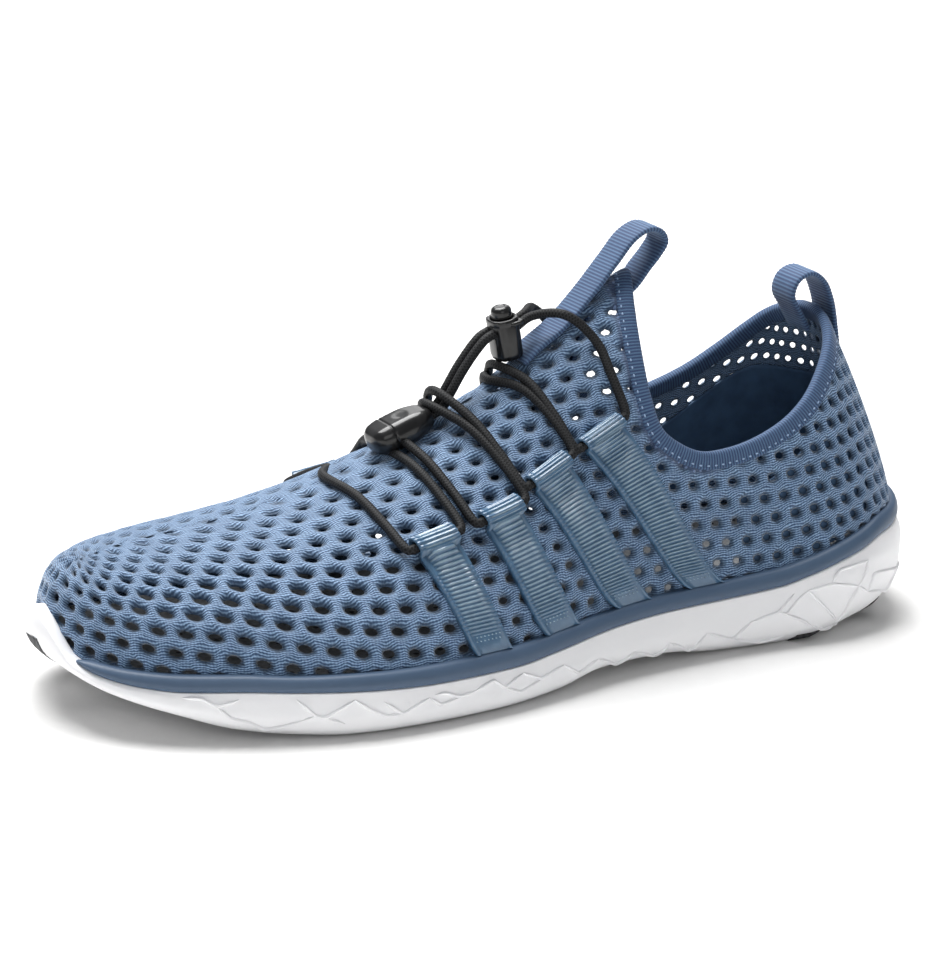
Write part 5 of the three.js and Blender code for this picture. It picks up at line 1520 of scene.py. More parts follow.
@dataclass
class Collar:
    """Folded band round the opening, with its row of stitches."""

    width: float = 5.3
    proud: float = 0.75
    stitch_pitch: float = 2.3
    stitch_from_edge: float = 4.2

    def build(self) -> CollarBand:
        """Makes the band and its stitches."""
        band = CollarBand()
        w, p, inner = self.width, self.proud, UPPER_WALL
        section = (
            (w, 0.0), (w + 0.1, 0.35), (w - 0.15, p - 0.05), (w - 0.7, p + 0.02), (w - 1.1, p - 0.12), (w - 1.6, p),
            (w * 0.5, p + 0.15), (1.2, p + 0.1), (0.5, p - 0.1), (0.05, 0.25), (-0.2, -0.35), (-0.2, -inner + 0.35),
            (0.05, -inner - 0.25), (0.5, -inner - p + 0.1), (1.2, -inner - p - 0.05), (w * 0.6, -inner - p),
            (w - 0.4, -inner - p + 0.05), (w, -inner - 0.4), (w, -inner + 0.1),
        )
        run = band.run[:-1]
        columns = [band.points(run, np.full(len(run), a), np.full(len(run), b)) for a, b in section]
        draft = Draft()
        draft.grid(np.stack(columns, 1), wrap_rows=True, wrap_columns=True)
        piece("collar_band", outward(draft.mesh("collar_band_mesh")), BINDING_FINISH, ["collar_binding"])
        self._stitches(band)
        return band

    def _stitches(self, band: CollarBand) -> None:
        """Short pale stitches along the band's lower edge."""
        points, faces = dome(0.3, 0.14, 6)
        points[:, 0] *= 1.5
        count = int(band.run[-1] / self.stitch_pitch)
        pitch = band.run[-1] / count
        flat, faces = ROWS.lay(points, faces, STITCH, count, 1, pitch, 1.0)
        where = band.points(flat[:, 0], self.stitch_from_edge - flat[:, 1], flat[:, 2] + self.proud - 0.05)
        draft = Draft()
        draft.add(where, faces)
        piece("collar_stitches", outward(draft.mesh("collar_stitches_mesh"), 0.0), STITCH, weld=0)


@dataclass
class Rand:
    """Coloured rubber band between the knit and the white side."""

    end_round: float = 7.0

    def build(self) -> None:
        """Sweeps the band from the toe round the heel and back."""
        at = LAST.share
        k = np.arange(LAST.count)
        tall = rand_top_z(at) - ledge_z(at) > CLEARANCE + 0.4
        outer = k[: LAST.HALF + 1][tall[: LAST.HALF + 1]].max()
        inner = k[LAST.HALF :][tall[LAST.HALF :]].min()
        order = np.concatenate([np.arange(outer, 0, -1), [0], np.arange(LAST.count - 1, inner - 1, -1)])
        order = order % LAST.count
        run = np.concatenate([[0], np.cumsum(LAST.step[order[1:]])])
        near = np.clip(np.minimum(run, run[-1] - run) / self.end_round, 0, 1)
        grow = np.sqrt(1 - (1 - near) ** 2)
        heel = 0.9 * (1 - smooth_step((at[order] - 0.04) / 0.2))
        section = (
            (SIDE_WALL + 0.2, 0.0), (RAND_LIP + 0.9, 0.0), (RAND_LIP + 0.35, 0.02), (RAND_LIP - 0.1, 0.1),
            (RAND_LIP - 0.35, 0.25), (RAND_LIP - 0.4, 0.42), (RAND_LIP - 0.2, 0.6), (RAND_LIP + 0.15, 0.76),
            (RAND_LIP + 0.6, 0.89), (RAND_LIP + 1.1, 0.97), (RAND_LIP + 1.8, 1.01), (RAND_LIP + 2.6, 1.02),
            (SIDE_WALL + 0.1, 1.0), (SIDE_WALL + 0.2, 0.9),
        )
        columns = []
        for inset, rise in section:
            shift = inset + np.where(inset < SIDE_WALL, heel, 0) + (1 - grow) * max(0.0, 2.2 - inset)
            plan = LAST.ring[order] - LAST.normal[order] * shift[:, None]
            share = share_at(plan[:, 1])
            low, high = ledge_z(share) + 0.05, rand_top_z(share) + 0.1
            z = low + (high - low) * rise * (0.25 + 0.75 * grow)
            columns.append(np.column_stack([plan, z]))
        rings = np.stack(columns, 1)
        draft = Draft()
        draft.grid(rings, wrap_columns=True)
        draft.cap(rings[0])
        draft.cap(rings[-1], flip=True)
        piece("side_rand", outward(draft.mesh("side_rand_mesh")), RAND_FINISH, ["rand"])


PROFILE = Table(("middle", "heel", "toe"), SIDE_PROFILE)


def in_polygon(points: Array, polygon: Array) -> Array:
    """Which points lie in a polygon."""
    x, y = points[:, 0], points[:, 1]
    inside = np.zeros(len(points), bool)
    for (x0, y0), (x1, y1) in zip(polygon, np.roll(polygon, -1, axis=0)):
        if y0 == y1:
            continue
        inside ^= ((y0 > y) != (y1 > y)) & (x < (x1 - x0) * (y - y0) / (y1 - y0) + x0)
    return inside


def panel(outline: Array, holes: Sequence[Array], spacing: float) -> tuple[Array, list[list[int]]]:
    """Flat triangles over an outline with holes, with inner points at a spacing.

    Args:
        outline: Corners of the outline.
        holes: Corners of each hole.
        spacing: Distance between inner points.

    Returns:
        Flat points and faces.
    """
    loops = [outline, *holes]
    low, high = outline.min(axis=0), outline.max(axis=0)
    axes = [np.arange(low[i] + spacing / 2, high[i], spacing) for i in range(2)]
    inner = np.stack(np.meshgrid(*axes, indexing="ij"), -1).reshape(-1, 2)
    inner = inner[in_polygon(inner, outline)]
    for hole in holes:
        middle = hole.mean(axis=0)
        inner = inner[~in_polygon(inner, middle + (hole - middle) * 1.25)]
    points, edges, start = [], [], 0
    for loop in loops:
        edges += [(start + i, start + (i + 1) % len(loop)) for i in range(len(loop))]
        points.append(loop)
        start += len(loop)
    points.append(inner)
    every = [Vector(p) for p in np.concatenate(points)]
    found = delaunay_2d_cdt(every, edges, [], 0, 1e-5)
    flat = np.array([tuple(p) for p in found[0]])
    faces = np.array([list(f) for f in found[2]])
    middle = flat[faces].mean(axis=1)
    keep = in_polygon(middle, outline)
    for hole in holes:
        keep &= ~in_polygon(middle, hole)
    faces = faces[keep]
    a, b, c = flat[faces[:, 0]], flat[faces[:, 1]], flat[faces[:, 2]]
    turned = np.cross(b - a, c - a) < 0
    faces[turned] = faces[turned][:, ::-1]
    return flat, faces.tolist()


def drain_loops(grow: float) -> list[Array]:
    """Rounded diamond loops of the drain holes, grown by a step."""
    turn = np.arange(20) * 2 * np.pi / 20
    loops = []
    for at, first, pitch, skew, count, long, wide in DRAINS:
        for i in range(count):
            a, b = wide * BALL_WIDTH / 2 + grow, long * BALL_WIDTH / 2 + grow
            power = 2 / 1.75
            x = (first - pitch * i) * BALL_WIDTH + a * np.sign(np.cos(turn)) * abs(np.cos(turn)) ** power
            y = along_y(at - skew * i) + b * np.sign(np.sin(turn)) * abs(np.sin(turn)) ** power
            loops.append(np.column_stack([x, y]))
    return loops


SIDE_RIDGES = (
    ((188, 480), (207, 481), (224, 489), (246, 482)), ((224, 489), (236, 500), (257, 505), (271, 511), (292, 508), (308, 503)),
    ((304, 482), (322, 498), (333, 500), (362, 482)), ((322, 498), (308, 503)), ((333, 500), (352, 506)),
    ((390, 484), (410, 496), (436, 480)), ((362, 482), (376, 492), (392, 498), (410, 496)),
    ((441, 477), (452, 475), (467, 479), (482, 473)), ((436, 480), (448, 487), (467, 479)),
    ((482, 473), (500, 462), (512, 470), (530, 455)), ((512, 470), (527, 474), (548, 461)),
    ((530, 455), (548, 461), (571, 447)), ((571, 447), (585, 455), (604, 441)), ((604, 441), (622, 449), (640, 434)),
    ((640, 434), (658, 441), (676, 425)), ((676, 425), (694, 432), (714, 415)),
    ((714, 415), (738, 421), (757, 404)), ((738, 421), (766, 424), (790, 418)), ((757, 404), (786, 394), (800, 376)),
    ((786, 394), (793, 396), (804, 383), (814, 373)), ((814, 373), (838, 366), (865, 368)),
    ((875, 342), (871, 356), (865, 368)), ((838, 366), (846, 352), (875, 342)),
    ((865, 368), (856, 383), (853, 390), (842, 403), (838, 410)), ((817, 407), (828, 411), (838, 410)),
    ((793, 396), (806, 401), (817, 407)), ((814, 373), (834, 392), (842, 403)),
    ((887, 339), (899, 339), (909, 347), (905, 360), (900, 371), (892, 374), (874, 374)), ((887, 339), (880, 356), (874, 374)),
    ((865, 368), (874, 374)),
)


@dataclass
class Sole:
    """White foam sole with drained bottom, ridged side, toe bumper and rubber pads."""

    rows: int = 26
    lift: float = 0.3
    chamfer: float = 1.3
    ridge_width: float = 0.55
    ridge_height: float = 0.75

    def side(self, k: Array, rise: Array, out: Union[float, Array] = 0.0, lift: Optional[float] = None) -> Array:
        """Points on the side.

        Args:
            k: Ring places.
            rise: Shares of the side's height.
            out: Step outwards.
            lift: Step of the lower edge over the bottom.

        Returns:
            One point each.
        """
        lift = self.lift if lift is None else lift
        base = np.floor(k).astype(int)
        t = (k - base)[:, None]
        ring = LAST.ring[base % LAST.count] * (1 - t) + LAST.ring[(base + 1) % LAST.count] * t
        normal = unit(LAST.normal[base % LAST.count] * (1 - t) + LAST.normal[(base + 1) % LAST.count] * t)
        at = share_at(ring[:, 1])
        heel = 1 - smooth_step((at - 0.04) / 0.2)
        toe = smooth_step((at - 0.86) / 0.12)
        rows = {name: PROFILE.read(name, rise) for name in ("middle", "heel", "toe")}
        inset = rows["middle"] + (rows["heel"] - rows["middle"]) * heel
        inset = inset + (rows["toe"] - inset) * toe - out
        plan = ring - normal * inset[:, None]
        share = share_at(plan[:, 1])
        low = bottom_z(share) + lift
        high = np.maximum(ledge_z(share), low + 1)
        return np.column_stack([plan, low + (high - low) * rise])

    def _inner(self, level: float) -> Array:
        """Ring on the inside wall, from the footbed at 0 to the ledge at 1."""
        top = self.side(np.arange(LAST.count), np.ones(LAST.count))[:, 2]
        ring = LAST.inset(SIDE_WALL, floor_z)
        z = ring[:, 2] + (top - ring[:, 2]) * level
        ring[:, 2] = z
        over = z > LAST.skin[:, 0, 2]
        for k in np.flatnonzero(over):
            turn = np.interp(z[k], LAST.skin[k, :, 2], np.arange(LAST.TURNS + 1))
            ring[k] = LAST.lookup(LAST.skin + LAST.skin_normal * CLEARANCE, np.array([k]), np.array([turn]))[0]
        return ring

    def build(self) -> None:
        """Makes the sole, its ridges and its pads."""
        k = np.arange(LAST.count)
        rises = np.linspace(0, 1, self.rows + 1)
        columns = [self.side(k, np.full(LAST.count, rise)) for rise in rises]
        ledge = columns[-1]
        columns[-1] = ledge * 0.75 + columns[-2] * 0.25
        for share in (0.12, 0.3, 0.6, 0.9):
            point = ledge + (self._inner(1.0) - ledge) * share
            point[:, 2] += (0.0 if share > 0.2 else -0.08)
            columns.append(point)
        for level in (1.0, 0.85, 0.6, 0.3, 0.0):
            columns.append(self._inner(level))
        draft = Draft()
        draft.grid(np.stack(columns, 1), wrap_rows=True)
        wide, narrow = drain_loops(self.chamfer), drain_loops(0.0)
        flat, faces = panel(columns[0][:, :2], wide, 5.0)
        at = share_at(flat[:, 1])
        draft.add(np.column_stack([flat, bottom_z(at) + self.lift]), [f[::-1] for f in faces])
        flat, faces = panel(columns[-1][:, :2], narrow, 6.0)
        draft.add(np.column_stack([flat, floor_z(share_at(flat[:, 1]))]), faces)
        for outer, hole in zip(wide, narrow):
            levels = []
            for loop, height in ((outer, 0.0), (outer * 0.6 + hole * 0.4, 0.35), (hole, 1.5), (hole, None)):
                share = share_at(loop[:, 1])
                low = bottom_z(share) + self.lift
                levels.append(np.column_stack([loop, floor_z(share) if height is None else low + height]))
            draft.grid(np.stack(levels, 0), wrap_columns=True)
        piece("foam_sole", draft.mesh("foam_sole_mesh"), FOAM, ["midsole"], weld=0.00003)
        self._ridges()
        self._pads()

    def _ridges(self) -> None:
        """Raised lines on the side, at their places in the photograph, with the inner side alike."""
        k, rise = np.meshgrid(np.arange(0.0, LAST.HALF + 1, 0.5), np.linspace(0.0, 1.0, 161), indexing="ij")
        k, rise = k.ravel(), rise.ravel()
        seen = Stage().pixels(self.side(k, rise))
        draft = Draft()
        for line in SIDE_RIDGES:
            corners = []
            for pixel in line:
                near = np.argmin(((seen - np.array(pixel)) ** 2).sum(axis=1))
                corners.append((k[near], np.clip(rise[near], 0.04, 0.97)))
            corners = np.array(corners)
            self._ridge(draft, corners)
            share = np.interp(corners[:, 0], np.arange(LAST.HALF + 1), LAST.share[: LAST.HALF + 1])
            self._ridge(draft, np.column_stack([LAST.place(share, -1), corners[:, 1]]))
        piece("sole_ridges", outward(draft.mesh("sole_ridges_mesh"), 0.0), FOAM, weld=0)

    def _ridge(self, draft: Draft, corners: Array) -> None:
        """One raised line through corners given by ring place and rise."""
        rows = []
        for a, b in zip(corners[:-1], corners[1:]):
            span = np.linalg.norm(self.side(b[None, 0], b[None, 1]) - self.side(a[None, 0], a[None, 1]))
            steps = max(int(span / 0.6), 2)
            rows.append(a + (b - a) * (np.arange(steps) / steps)[:, None])
        line = np.concatenate([*rows, corners[-1:]])
        for _ in range(2):
            line[1:-1] = (line[:-2] + 2 * line[1:-1] + line[2:]) / 4
        here = self.side(line[:, 0], line[:, 1])
        ahead = self.side(line[:, 0] + 1.0, line[:, 1]) - here
        above = self.side(line[:, 0], np.clip(line[:, 1] + 0.02, 0, 1)) - self.side(line[:, 0], np.clip(line[:, 1] - 0.02, 0, 1))
        normal = unit(np.cross(above, ahead))
        across = unit(np.cross(normal, np.gradient(here, axis=0)))
        run = np.minimum(np.arange(len(line)), np.arange(len(line))[::-1])
        taper = (0.25 + 0.75 * np.clip(run / 4, 0, 1))[:, None]
        section = ((-1.0, -0.3), (-0.75, 0.35), (-0.35, 0.85), (0.0, 1.0), (0.35, 0.85), (0.75, 0.35), (1.0, -0.3))
        rings = np.stack([here + across * (x * self.ridge_width * taper) + normal * (z * self.ridge_height * taper)
                          for x, z in section], 1)
        draft.grid(rings, wrap_columns=True)
        draft.cap(rings[0])
        draft.cap(rings[-1], flip=True)

    def _pads(self) -> None:
        """Rubber pads under the toe and the heel, a hair proud of the foam."""
        for name, table, node in (("toe_pad", TOE_PAD, "outsole_toe_pad"), ("heel_pad", HEEL_PAD, "outsole_heel_pad")):
            form = Draft()
            k = np.arange(0, LAST.count, 2).astype(float)
            rings = [self.side(k, np.full(len(k), r), 0.3, 0.0) for r in (0, 0.05, 0.1, 0.17, 0.25, 0.37, 0.5)]
            form.grid(np.stack(rings, 1), wrap_rows=True)
            flat, faces = panel(rings[0][:, :2], [], 6.0)
            form.add(np.column_stack([flat, bottom_z(share_at(flat[:, 1]))]), [f[::-1] for f in faces])
            flat, faces = panel(rings[-1][:, :2], [], 9.0)
            height = np.array([self.side(np.array([0.0]), np.array([0.5]))[0, 2]])
            top = bottom_z(share_at(flat[:, 1])) + 0.5 * (ledge_z(share_at(flat[:, 1])) - bottom_z(share_at(flat[:, 1])))
            form.add(np.column_stack([flat, top]), faces)
            polygon = np.array([(out * BALL_WIDTH, along_y(at)) for at, out in table])
            flat, faces = panel(polygon, [], 5.0)
            prism = Draft()
            share = share_at(flat[:, 1])
            prism.add(np.column_stack([flat, bottom_z(share) + 2.5]), faces)
            prism.add(np.column_stack([flat, bottom_z(share) - 6]), [f[::-1] for f in faces])
            share = share_at(polygon[:, 1])
            walls = [np.column_stack([polygon, bottom_z(share) + h]) for h in (-6, 2.5)]
            prism.grid(np.stack(walls, 0), wrap_columns=True)
            solid = self._common(outward(form.mesh(name + "_form"), 0.00004), outward(prism.mesh(name + "_cut"), 0.00004))
            piece(name, solid, TREAD, [node], smooth=False)

    @staticmethod
    def _common(first: bpy.types.Mesh, second: bpy.types.Mesh) -> bpy.types.Mesh:
        """What two closed meshes share."""
        objects = [bpy.data.objects.new("form", mesh) for mesh in (first, second)]
        for obj in objects:
            bpy.context.scene.collection.objects.link(obj)
        modifier = objects[0].modifiers.new("common", "BOOLEAN")
        modifier.operation = "INTERSECT"
        modifier.solver = "EXACT"
        modifier.object = objects[1]
        result = plain(objects[0])
        mesh = result.data
        bpy.data.objects.remove(result)
        bpy.data.objects.remove(objects[1])
        return mesh


@dataclass
class Insole:
    """Foam insole in the upper, with a soft cup at its edge."""

    thickness: float = 4.0
    columns: int = 30

    def build(self) -> None:
        """Makes the insole as closed sections from heel to toe."""
        inset = SIDE_WALL + UPPER_WALL + 2.5 * CLEARANCE
        low = LAST.inset(inset, floor_z)
        rows = np.arange(3, LAST.HALF - 2, 2)
        across = np.linspace(0, 1, self.columns + 1)
        edge = np.minimum(across, 1 - across)
        rings = []
        for k in rows:
            a, b = low[k], low[LAST.count - k]
            line = a + (b - a) * across[:, None]
            wide = np.linalg.norm(b - a)
            near = np.clip(edge * wide / 9, 0, 1)
            top = line.copy()
            top[:, 2] += CLEARANCE + self.thickness + 1.3 * (1 - near) ** 2 - 1.2 * (1 - np.clip(edge * wide / 1.2, 0, 1))
            base = line.copy()
            base[:, 2] += CLEARANCE
            rings.append(np.concatenate([top, base[::-1]]))
        rings = np.stack(rings, 0)
        draft = Draft()
        draft.grid(rings, wrap_columns=True)
        draft.cap(rings[0])
        draft.cap(rings[-1], flip=True)
        piece("foam_insole", outward(draft.mesh("foam_insole_mesh")), INSOLE, ["insole"])


@dataclass
class HeelLining:
    """Smooth shell inside the heel."""

    reach: float = 0.26
    inner: float = UPPER_WALL + 0.15
    thickness: float = 0.5

    def build(self) -> None:
        """Makes the shell from the insole up towards the collar."""
        side = np.flatnonzero(LAST.share[: LAST.HALF] < self.reach)
        order = np.concatenate([LAST.count - side[:0:-1], side])
        share = LAST.share[order]
        top = 47 + 22 * smooth_step((self.reach - share) / 0.18)
        collar = np.full(len(order), 200.0)
        rows = []
        for k, high in zip(order, top):
            z = LAST.skin[k, :, 2]
            line = over_collar(LAST.skin[k])
            limit = np.flatnonzero(line > -4)
            end = limit[0] if len(limit) else LAST.TURNS
            turn = min(float(np.interp(high, z, np.arange(LAST.TURNS + 1))), end)
            rows.append(turn)
        turn = np.array(rows)
        t = np.linspace(0, 1, 40)
        k = np.repeat(order.astype(float), len(t))
        turns = (turn[:, None] * t[None, :]).ravel()
        base = LAST.lookup(LAST.skin, k, turns).reshape(len(order), -1, 3)
        normal = LAST.lookup(LAST.skin_normal, k, turns).reshape(len(order), -1, 3)
        front = base - normal * (self.inner + self.thickness)
        back = base - normal * self.inner
        rings = np.concatenate([front, back[:, ::-1]], axis=1)
        draft = Draft()
        draft.grid(rings, wrap_columns=True)
        draft.cap(rings[0])
        draft.cap(rings[-1], flip=True)
        piece("heel_lining", outward(draft.mesh("heel_lining_mesh")), LINING)


@dataclass
class Strap:
    """Moulded strap from the rand to a folded top round the lace."""

    index: int
    side: Side
    rib_pitch: float = 1.15
    rib_height: float = 0.24
    piping: float = 0.55
    fold_rows: int = 64

    def __post_init__(self) -> None:
        """Measures the strap's middle line."""
        self.top, self.foot, self.climb = STRAPS[self.index]
        t = np.linspace(0, 1, 60)
        line = LAST.on_upper(self.foot + (self.top - self.foot) * t, self.climb * t, self.side.value, 0.0)
        self.length = line_length(line)

    def place(self, d: Array, w: Array, out: Array) -> Array:
        """Points of the strap from the distance along it, across it and over the skin."""
        t = d / self.length
        at = self.foot + (self.top - self.foot) * t - w / LENGTH
        return LAST.on_upper(at, self.climb * t, self.side.value, out)

    def _profile(self) -> tuple[Array, Array]:
        """Upper and lower line of the strap seen from its edge, paired point by point."""
        face, under = CLEARANCE + SEAT + STRAP_THICKNESS, 0.15
        bore, wall = LACE_DIAMETER / 2 + LACE_PLAY, LOOP_WALL
        middle = self.length
        start, crease = 0.8, middle - bore - wall + 0.4
        d = np.arange(start, crease, self.rib_pitch / 6)
        fade = smooth_step((d - 7) / 5)
        ribs = self.rib_height * np.cos(2 * np.pi * d / self.rib_pitch) * fade
        ramp = (LOOP_LIFT + 0.75 * (bore + wall) - face) * smooth_step((d - crease + 6.4) / 7.6) ** 1.25
        top = np.column_stack([d, face + ribs + ramp])
        low = np.column_stack([d, np.full(len(d), under)])
        turn = np.radians(np.linspace(142, -75, self.fold_rows))
        round_ribs = self.rib_height * 0.8 * (np.cos((bore + wall) * (turn[0] - turn) * 2 * np.pi / self.rib_pitch) - 1)
        radius = bore + wall + round_ribs * smooth_step((turn - 0.2) / 0.5)
        outer = np.column_stack([middle + radius * np.cos(turn), LOOP_LIFT + radius * np.sin(turn)])
        back = np.radians(np.linspace(215, -75, self.fold_rows))
        inner = np.column_stack([middle + bore * np.cos(back), LOOP_LIFT + bore * np.sin(back)])
        outer[:, 1] = np.maximum(outer[:, 1], 0.2)
        inner[:, 1] = np.maximum(inner[:, 1], 0.15)
        return np.concatenate([top, outer]), np.concatenate([low, inner])

    def build(self) -> None:
        """Makes the strap, with piping along its edges, and its dots."""
        half = STRAP_WIDTH / 2
        across = np.array([-1.0, -0.985, -0.95, -0.9, -0.84, -0.79, -0.76, -0.5, 0.0, 0.5, 0.76, 0.79, 0.84, 0.9, 0.95, 0.985, 1.0])
        edge = np.abs(across)
        bead = self.piping * np.sqrt(np.clip(1 - ((edge - 0.885) / 0.125) ** 2, 0, 1)) - 0.35 * smooth_step((edge - 0.95) / 0.05)
        plain_share = 1 - smooth_step((edge - 0.72) / 0.05)
        upper, lower = self._profile()
        face = CLEARANCE + SEAT + STRAP_THICKNESS
        count = len(upper)
        flat_part = (np.arange(count) < count - self.fold_rows).astype(float)
        d = np.repeat(upper[:, :1], len(across), 1)
        rib = upper[:, 1:] * np.ones(len(across))
        smooth = np.where(flat_part[:, None] > 0, np.minimum(rib, face + 0.0) * 0 + np.clip(rib, 0, face), rib)
        out = rib * plain_share + smooth * (1 - plain_share) + bead * (0.35 + 0.65 * flat_part[:, None])
        w = np.broadcast_to(across * half, d.shape)
        top = self.place(d, w, out)
        low = self.place(np.repeat(lower[:, :1], len(across), 1), w, np.repeat(lower[:, 1:], len(across), 1))
        rings = np.concatenate([top, low[:, ::-1]], axis=1)
        draft = Draft()
        run = np.concatenate([[0], np.cumsum(np.linalg.norm(np.diff(upper, axis=0), axis=1))]) + upper[0, 0]
        run[: count - self.fold_rows] = upper[: count - self.fold_rows, 0]
        under = half + half * np.concatenate([across, across[::-1], across[:1]])
        under[len(across) :] = 0.0
        flat = np.stack(np.meshgrid(run, under, indexing="ij"), -1)
        draft.grid(rings, wrap_columns=True, flat=flat)
        n = len(across)
        for row, turned in ((rings[0], False), (rings[-1], True)):
            strip = [[i, i + 1, 2 * n - 2 - i, 2 * n - 1 - i] for i in range(n - 1)]
            draft.add(row, [s[::-1] for s in strip] if turned else strip)
        name = f"strap_{self.side.name.lower()}_{self.index + 1}"
        piece("band_" + name, outward(draft.mesh(name + "_mesh")), FILM, [name])
        self._dots(name)

    def _dots(self, name: str) -> None:
        """Two rows of small raised dots at the foot."""
        points, faces = dome(0.28, 0.18, 6)
        flat, faces = ROWS.lay(points, faces, STITCH, 7, 2, 1.35, 1.5, 0.6)
        face = CLEARANCE + SEAT + STRAP_THICKNESS
        draft = Draft()
        draft.add(self.place(flat[:, 1] + 6.5, flat[:, 0] - 4.2, flat[:, 2] + face + 0.05), faces)
        piece("dots_" + name, outward(draft.mesh(name + "_dots_mesh"), 0.0), STITCH_DARK, weld=0)


@dataclass
class Lacing:
    """Elastic lace through the folded strap tops, and its two ends to the lock and the clip."""

    step: float = 1.1
    clear: float = 0.2
    over: float = 2.4
    apart: float = 0.006
    bridge: float = 4.6
    bridge_pull: float = 0.016

    @staticmethod
    def loop_end(strap: int, side: int, end: int, away: float) -> Array:
        """Place where the lace leaves a strap's top; end is -1 at its front and 1 at its rear."""
        top, _, climb = STRAPS[strap]
        return spot(top - end * (STRAP_WIDTH / 2 + away) / LENGTH, climb, side, LOOP_LIFT)

    def crossing(self, start: tuple[int, int], stop: tuple[int, int], lift: float, pull: float, sway: float = 0.0) -> Array:
        """Points from a strap on the outer side over the ridge to one on the inner side.

        Args:
            start: Strap and end on the outer side.
            stop: Strap and end on the inner side.
            lift: How much higher the lace passes over the ridge.
            pull: How far it is drawn towards the toe.
            sway: How far it swings to the heel on the inner side.

        Returns:
            The points, from the outer side.
        """
        clear = self.clear + LACE_DIAMETER / 2
        place = [STRAPS[s][0] - e * STRAP_WIDTH / 2 / LENGTH for s, e in (start, stop)]
        middle = sum(place) / 2 + pull

        def rise(strap: int, end: int, side: int, t: float) -> Array:
            top, _, climb = STRAPS[strap]
            at = top - end * (STRAP_WIDTH / 2 + 3) / LENGTH
            out = clear + 0.5 * (1 - t) + lift * t * t
            return spot(at + (middle - at) * t, climb + (1 - climb) * t, side, out)

        rows = [self.loop_end(*start[:1], 1, start[1], a) for a in (CLEARANCE, 2.2)]
        rows += [rise(*start, 1, t) for t in (0.25, 0.6, 1.0)]
        rows += [rise(*stop, -1, t) + (0, sway * share, 0) for t, share in ((0.6, 1.0), (0.25, 0.5))]
        rows += [self.loop_end(*stop[:1], -1, stop[1], a) for a in (2.2, CLEARANCE)]
        return np.array(rows)

    def build(self) -> None:
        """Makes the long run of lace."""
        pulls = {name: pull for name, _, pull in CROSSINGS}
        raised = {"low": 0.0, "mid": self.bridge, "top": 0.0}
        drawn = {"low": 0.0, "mid": self.bridge_pull, "top": 0.0}
        part = self.apart
        ends = [self.crossing((i, 1), (i + 1, -1), raised[n], pulls[n] + drawn[n] + part) for n, i, _ in CROSSINGS]
        backs = [self.crossing((i + 1, -1), (i, 1), raised[n] + self.over, pulls[n] + drawn[n] - part) for n, i, _ in CROSSINGS]
        front = self.crossing((0, -1), (0, -1), 0.0, 0.03, 9.0)
        runs = [
            self.loop_end(3, 1, 1, -1.5)[None], backs[2], ends[1][::-1], backs[0], front[::-1], ends[0],
            backs[1][::-1], ends[2], self.loop_end(3, -1, 1, -1.5)[None],
        ]
        path = spline(np.concatenate(runs), 10)
        path = even(path, int(line_length(path) / self.step))
        draft = Draft()
        tube(draft, path, LACE_DIAMETER / 2, 12)
        nodes = ["lace_front_bar", "lace_cross_low", "lace_cross_mid", "lace_cross_top"]
        piece("lace_run", outward(draft.mesh("lace_run_mesh")), CORD, nodes)

    def _loose(self, name: str, node: str, points: Array) -> None:
        """One loose length of lace."""
        path = spline(points, 12)
        path = even(path, int(line_length(path) / self.step))
        draft = Draft()
        tube(draft, path, LACE_DIAMETER / 2, 12)
        obj = piece(name, outward(draft.mesh(name + "_mesh")), CORD, [node])

    def loose_ends(self) -> None:
        """The two lengths up to the lock and the two down to the clip."""
        for side, word in ((1, "lateral"), (-1, "medial")):
            def lock(y: float, z: float, spread: float = 1.0) -> Array:
                return seated(np.array([side * PORT_SPREAD * spread, y, z]), LOCK_SEAT)

            def clip(y: float, z: float) -> Array:
                return seated(np.array([side * PORT_SPREAD, y, z]), CLIP_SEAT)

            top, _, climb = STRAPS[3]
            at = top - (STRAP_WIDTH / 2 + 1) / LENGTH
            radius = LOCK_DIAMETER / 2
            up = np.array([
                self.loop_end(3, side, 1, CLEARANCE), self.loop_end(3, side, 1, 1.6),
                spot(at + 0.002, climb + (1 - climb) * 0.24, side, 2.2),
                spot(at + 0.008, climb + (1 - climb) * 0.5, side, 2.6),
                spot(at + 0.024, climb + (1 - climb) * 0.76, side, 8.8),
                lock(radius + 4, PORT_HEIGHT + 1.6, 1.1), lock(radius - 0.6, PORT_HEIGHT),
            ])
            self._loose(f"lace_up_{word}", f"lace_end_{word}", up)
            after, before = lock(-radius - 3, PORT_HEIGHT - 1), clip(CLIP_LENGTH / 2 + 4, 0.6)
            lift = np.array([0, 0, 1.0])
            down = np.array([
                lock(-radius + 0.6, PORT_HEIGHT), after, after + (before - after) * 0.45 + lift * 1.5,
                after + (before - after) * 0.8 + lift * 0.6, before, clip(CLIP_LENGTH / 2 - 0.6, 0),
            ])
            self._loose(f"lace_down_{word}", f"lace_tail_{word}", down)


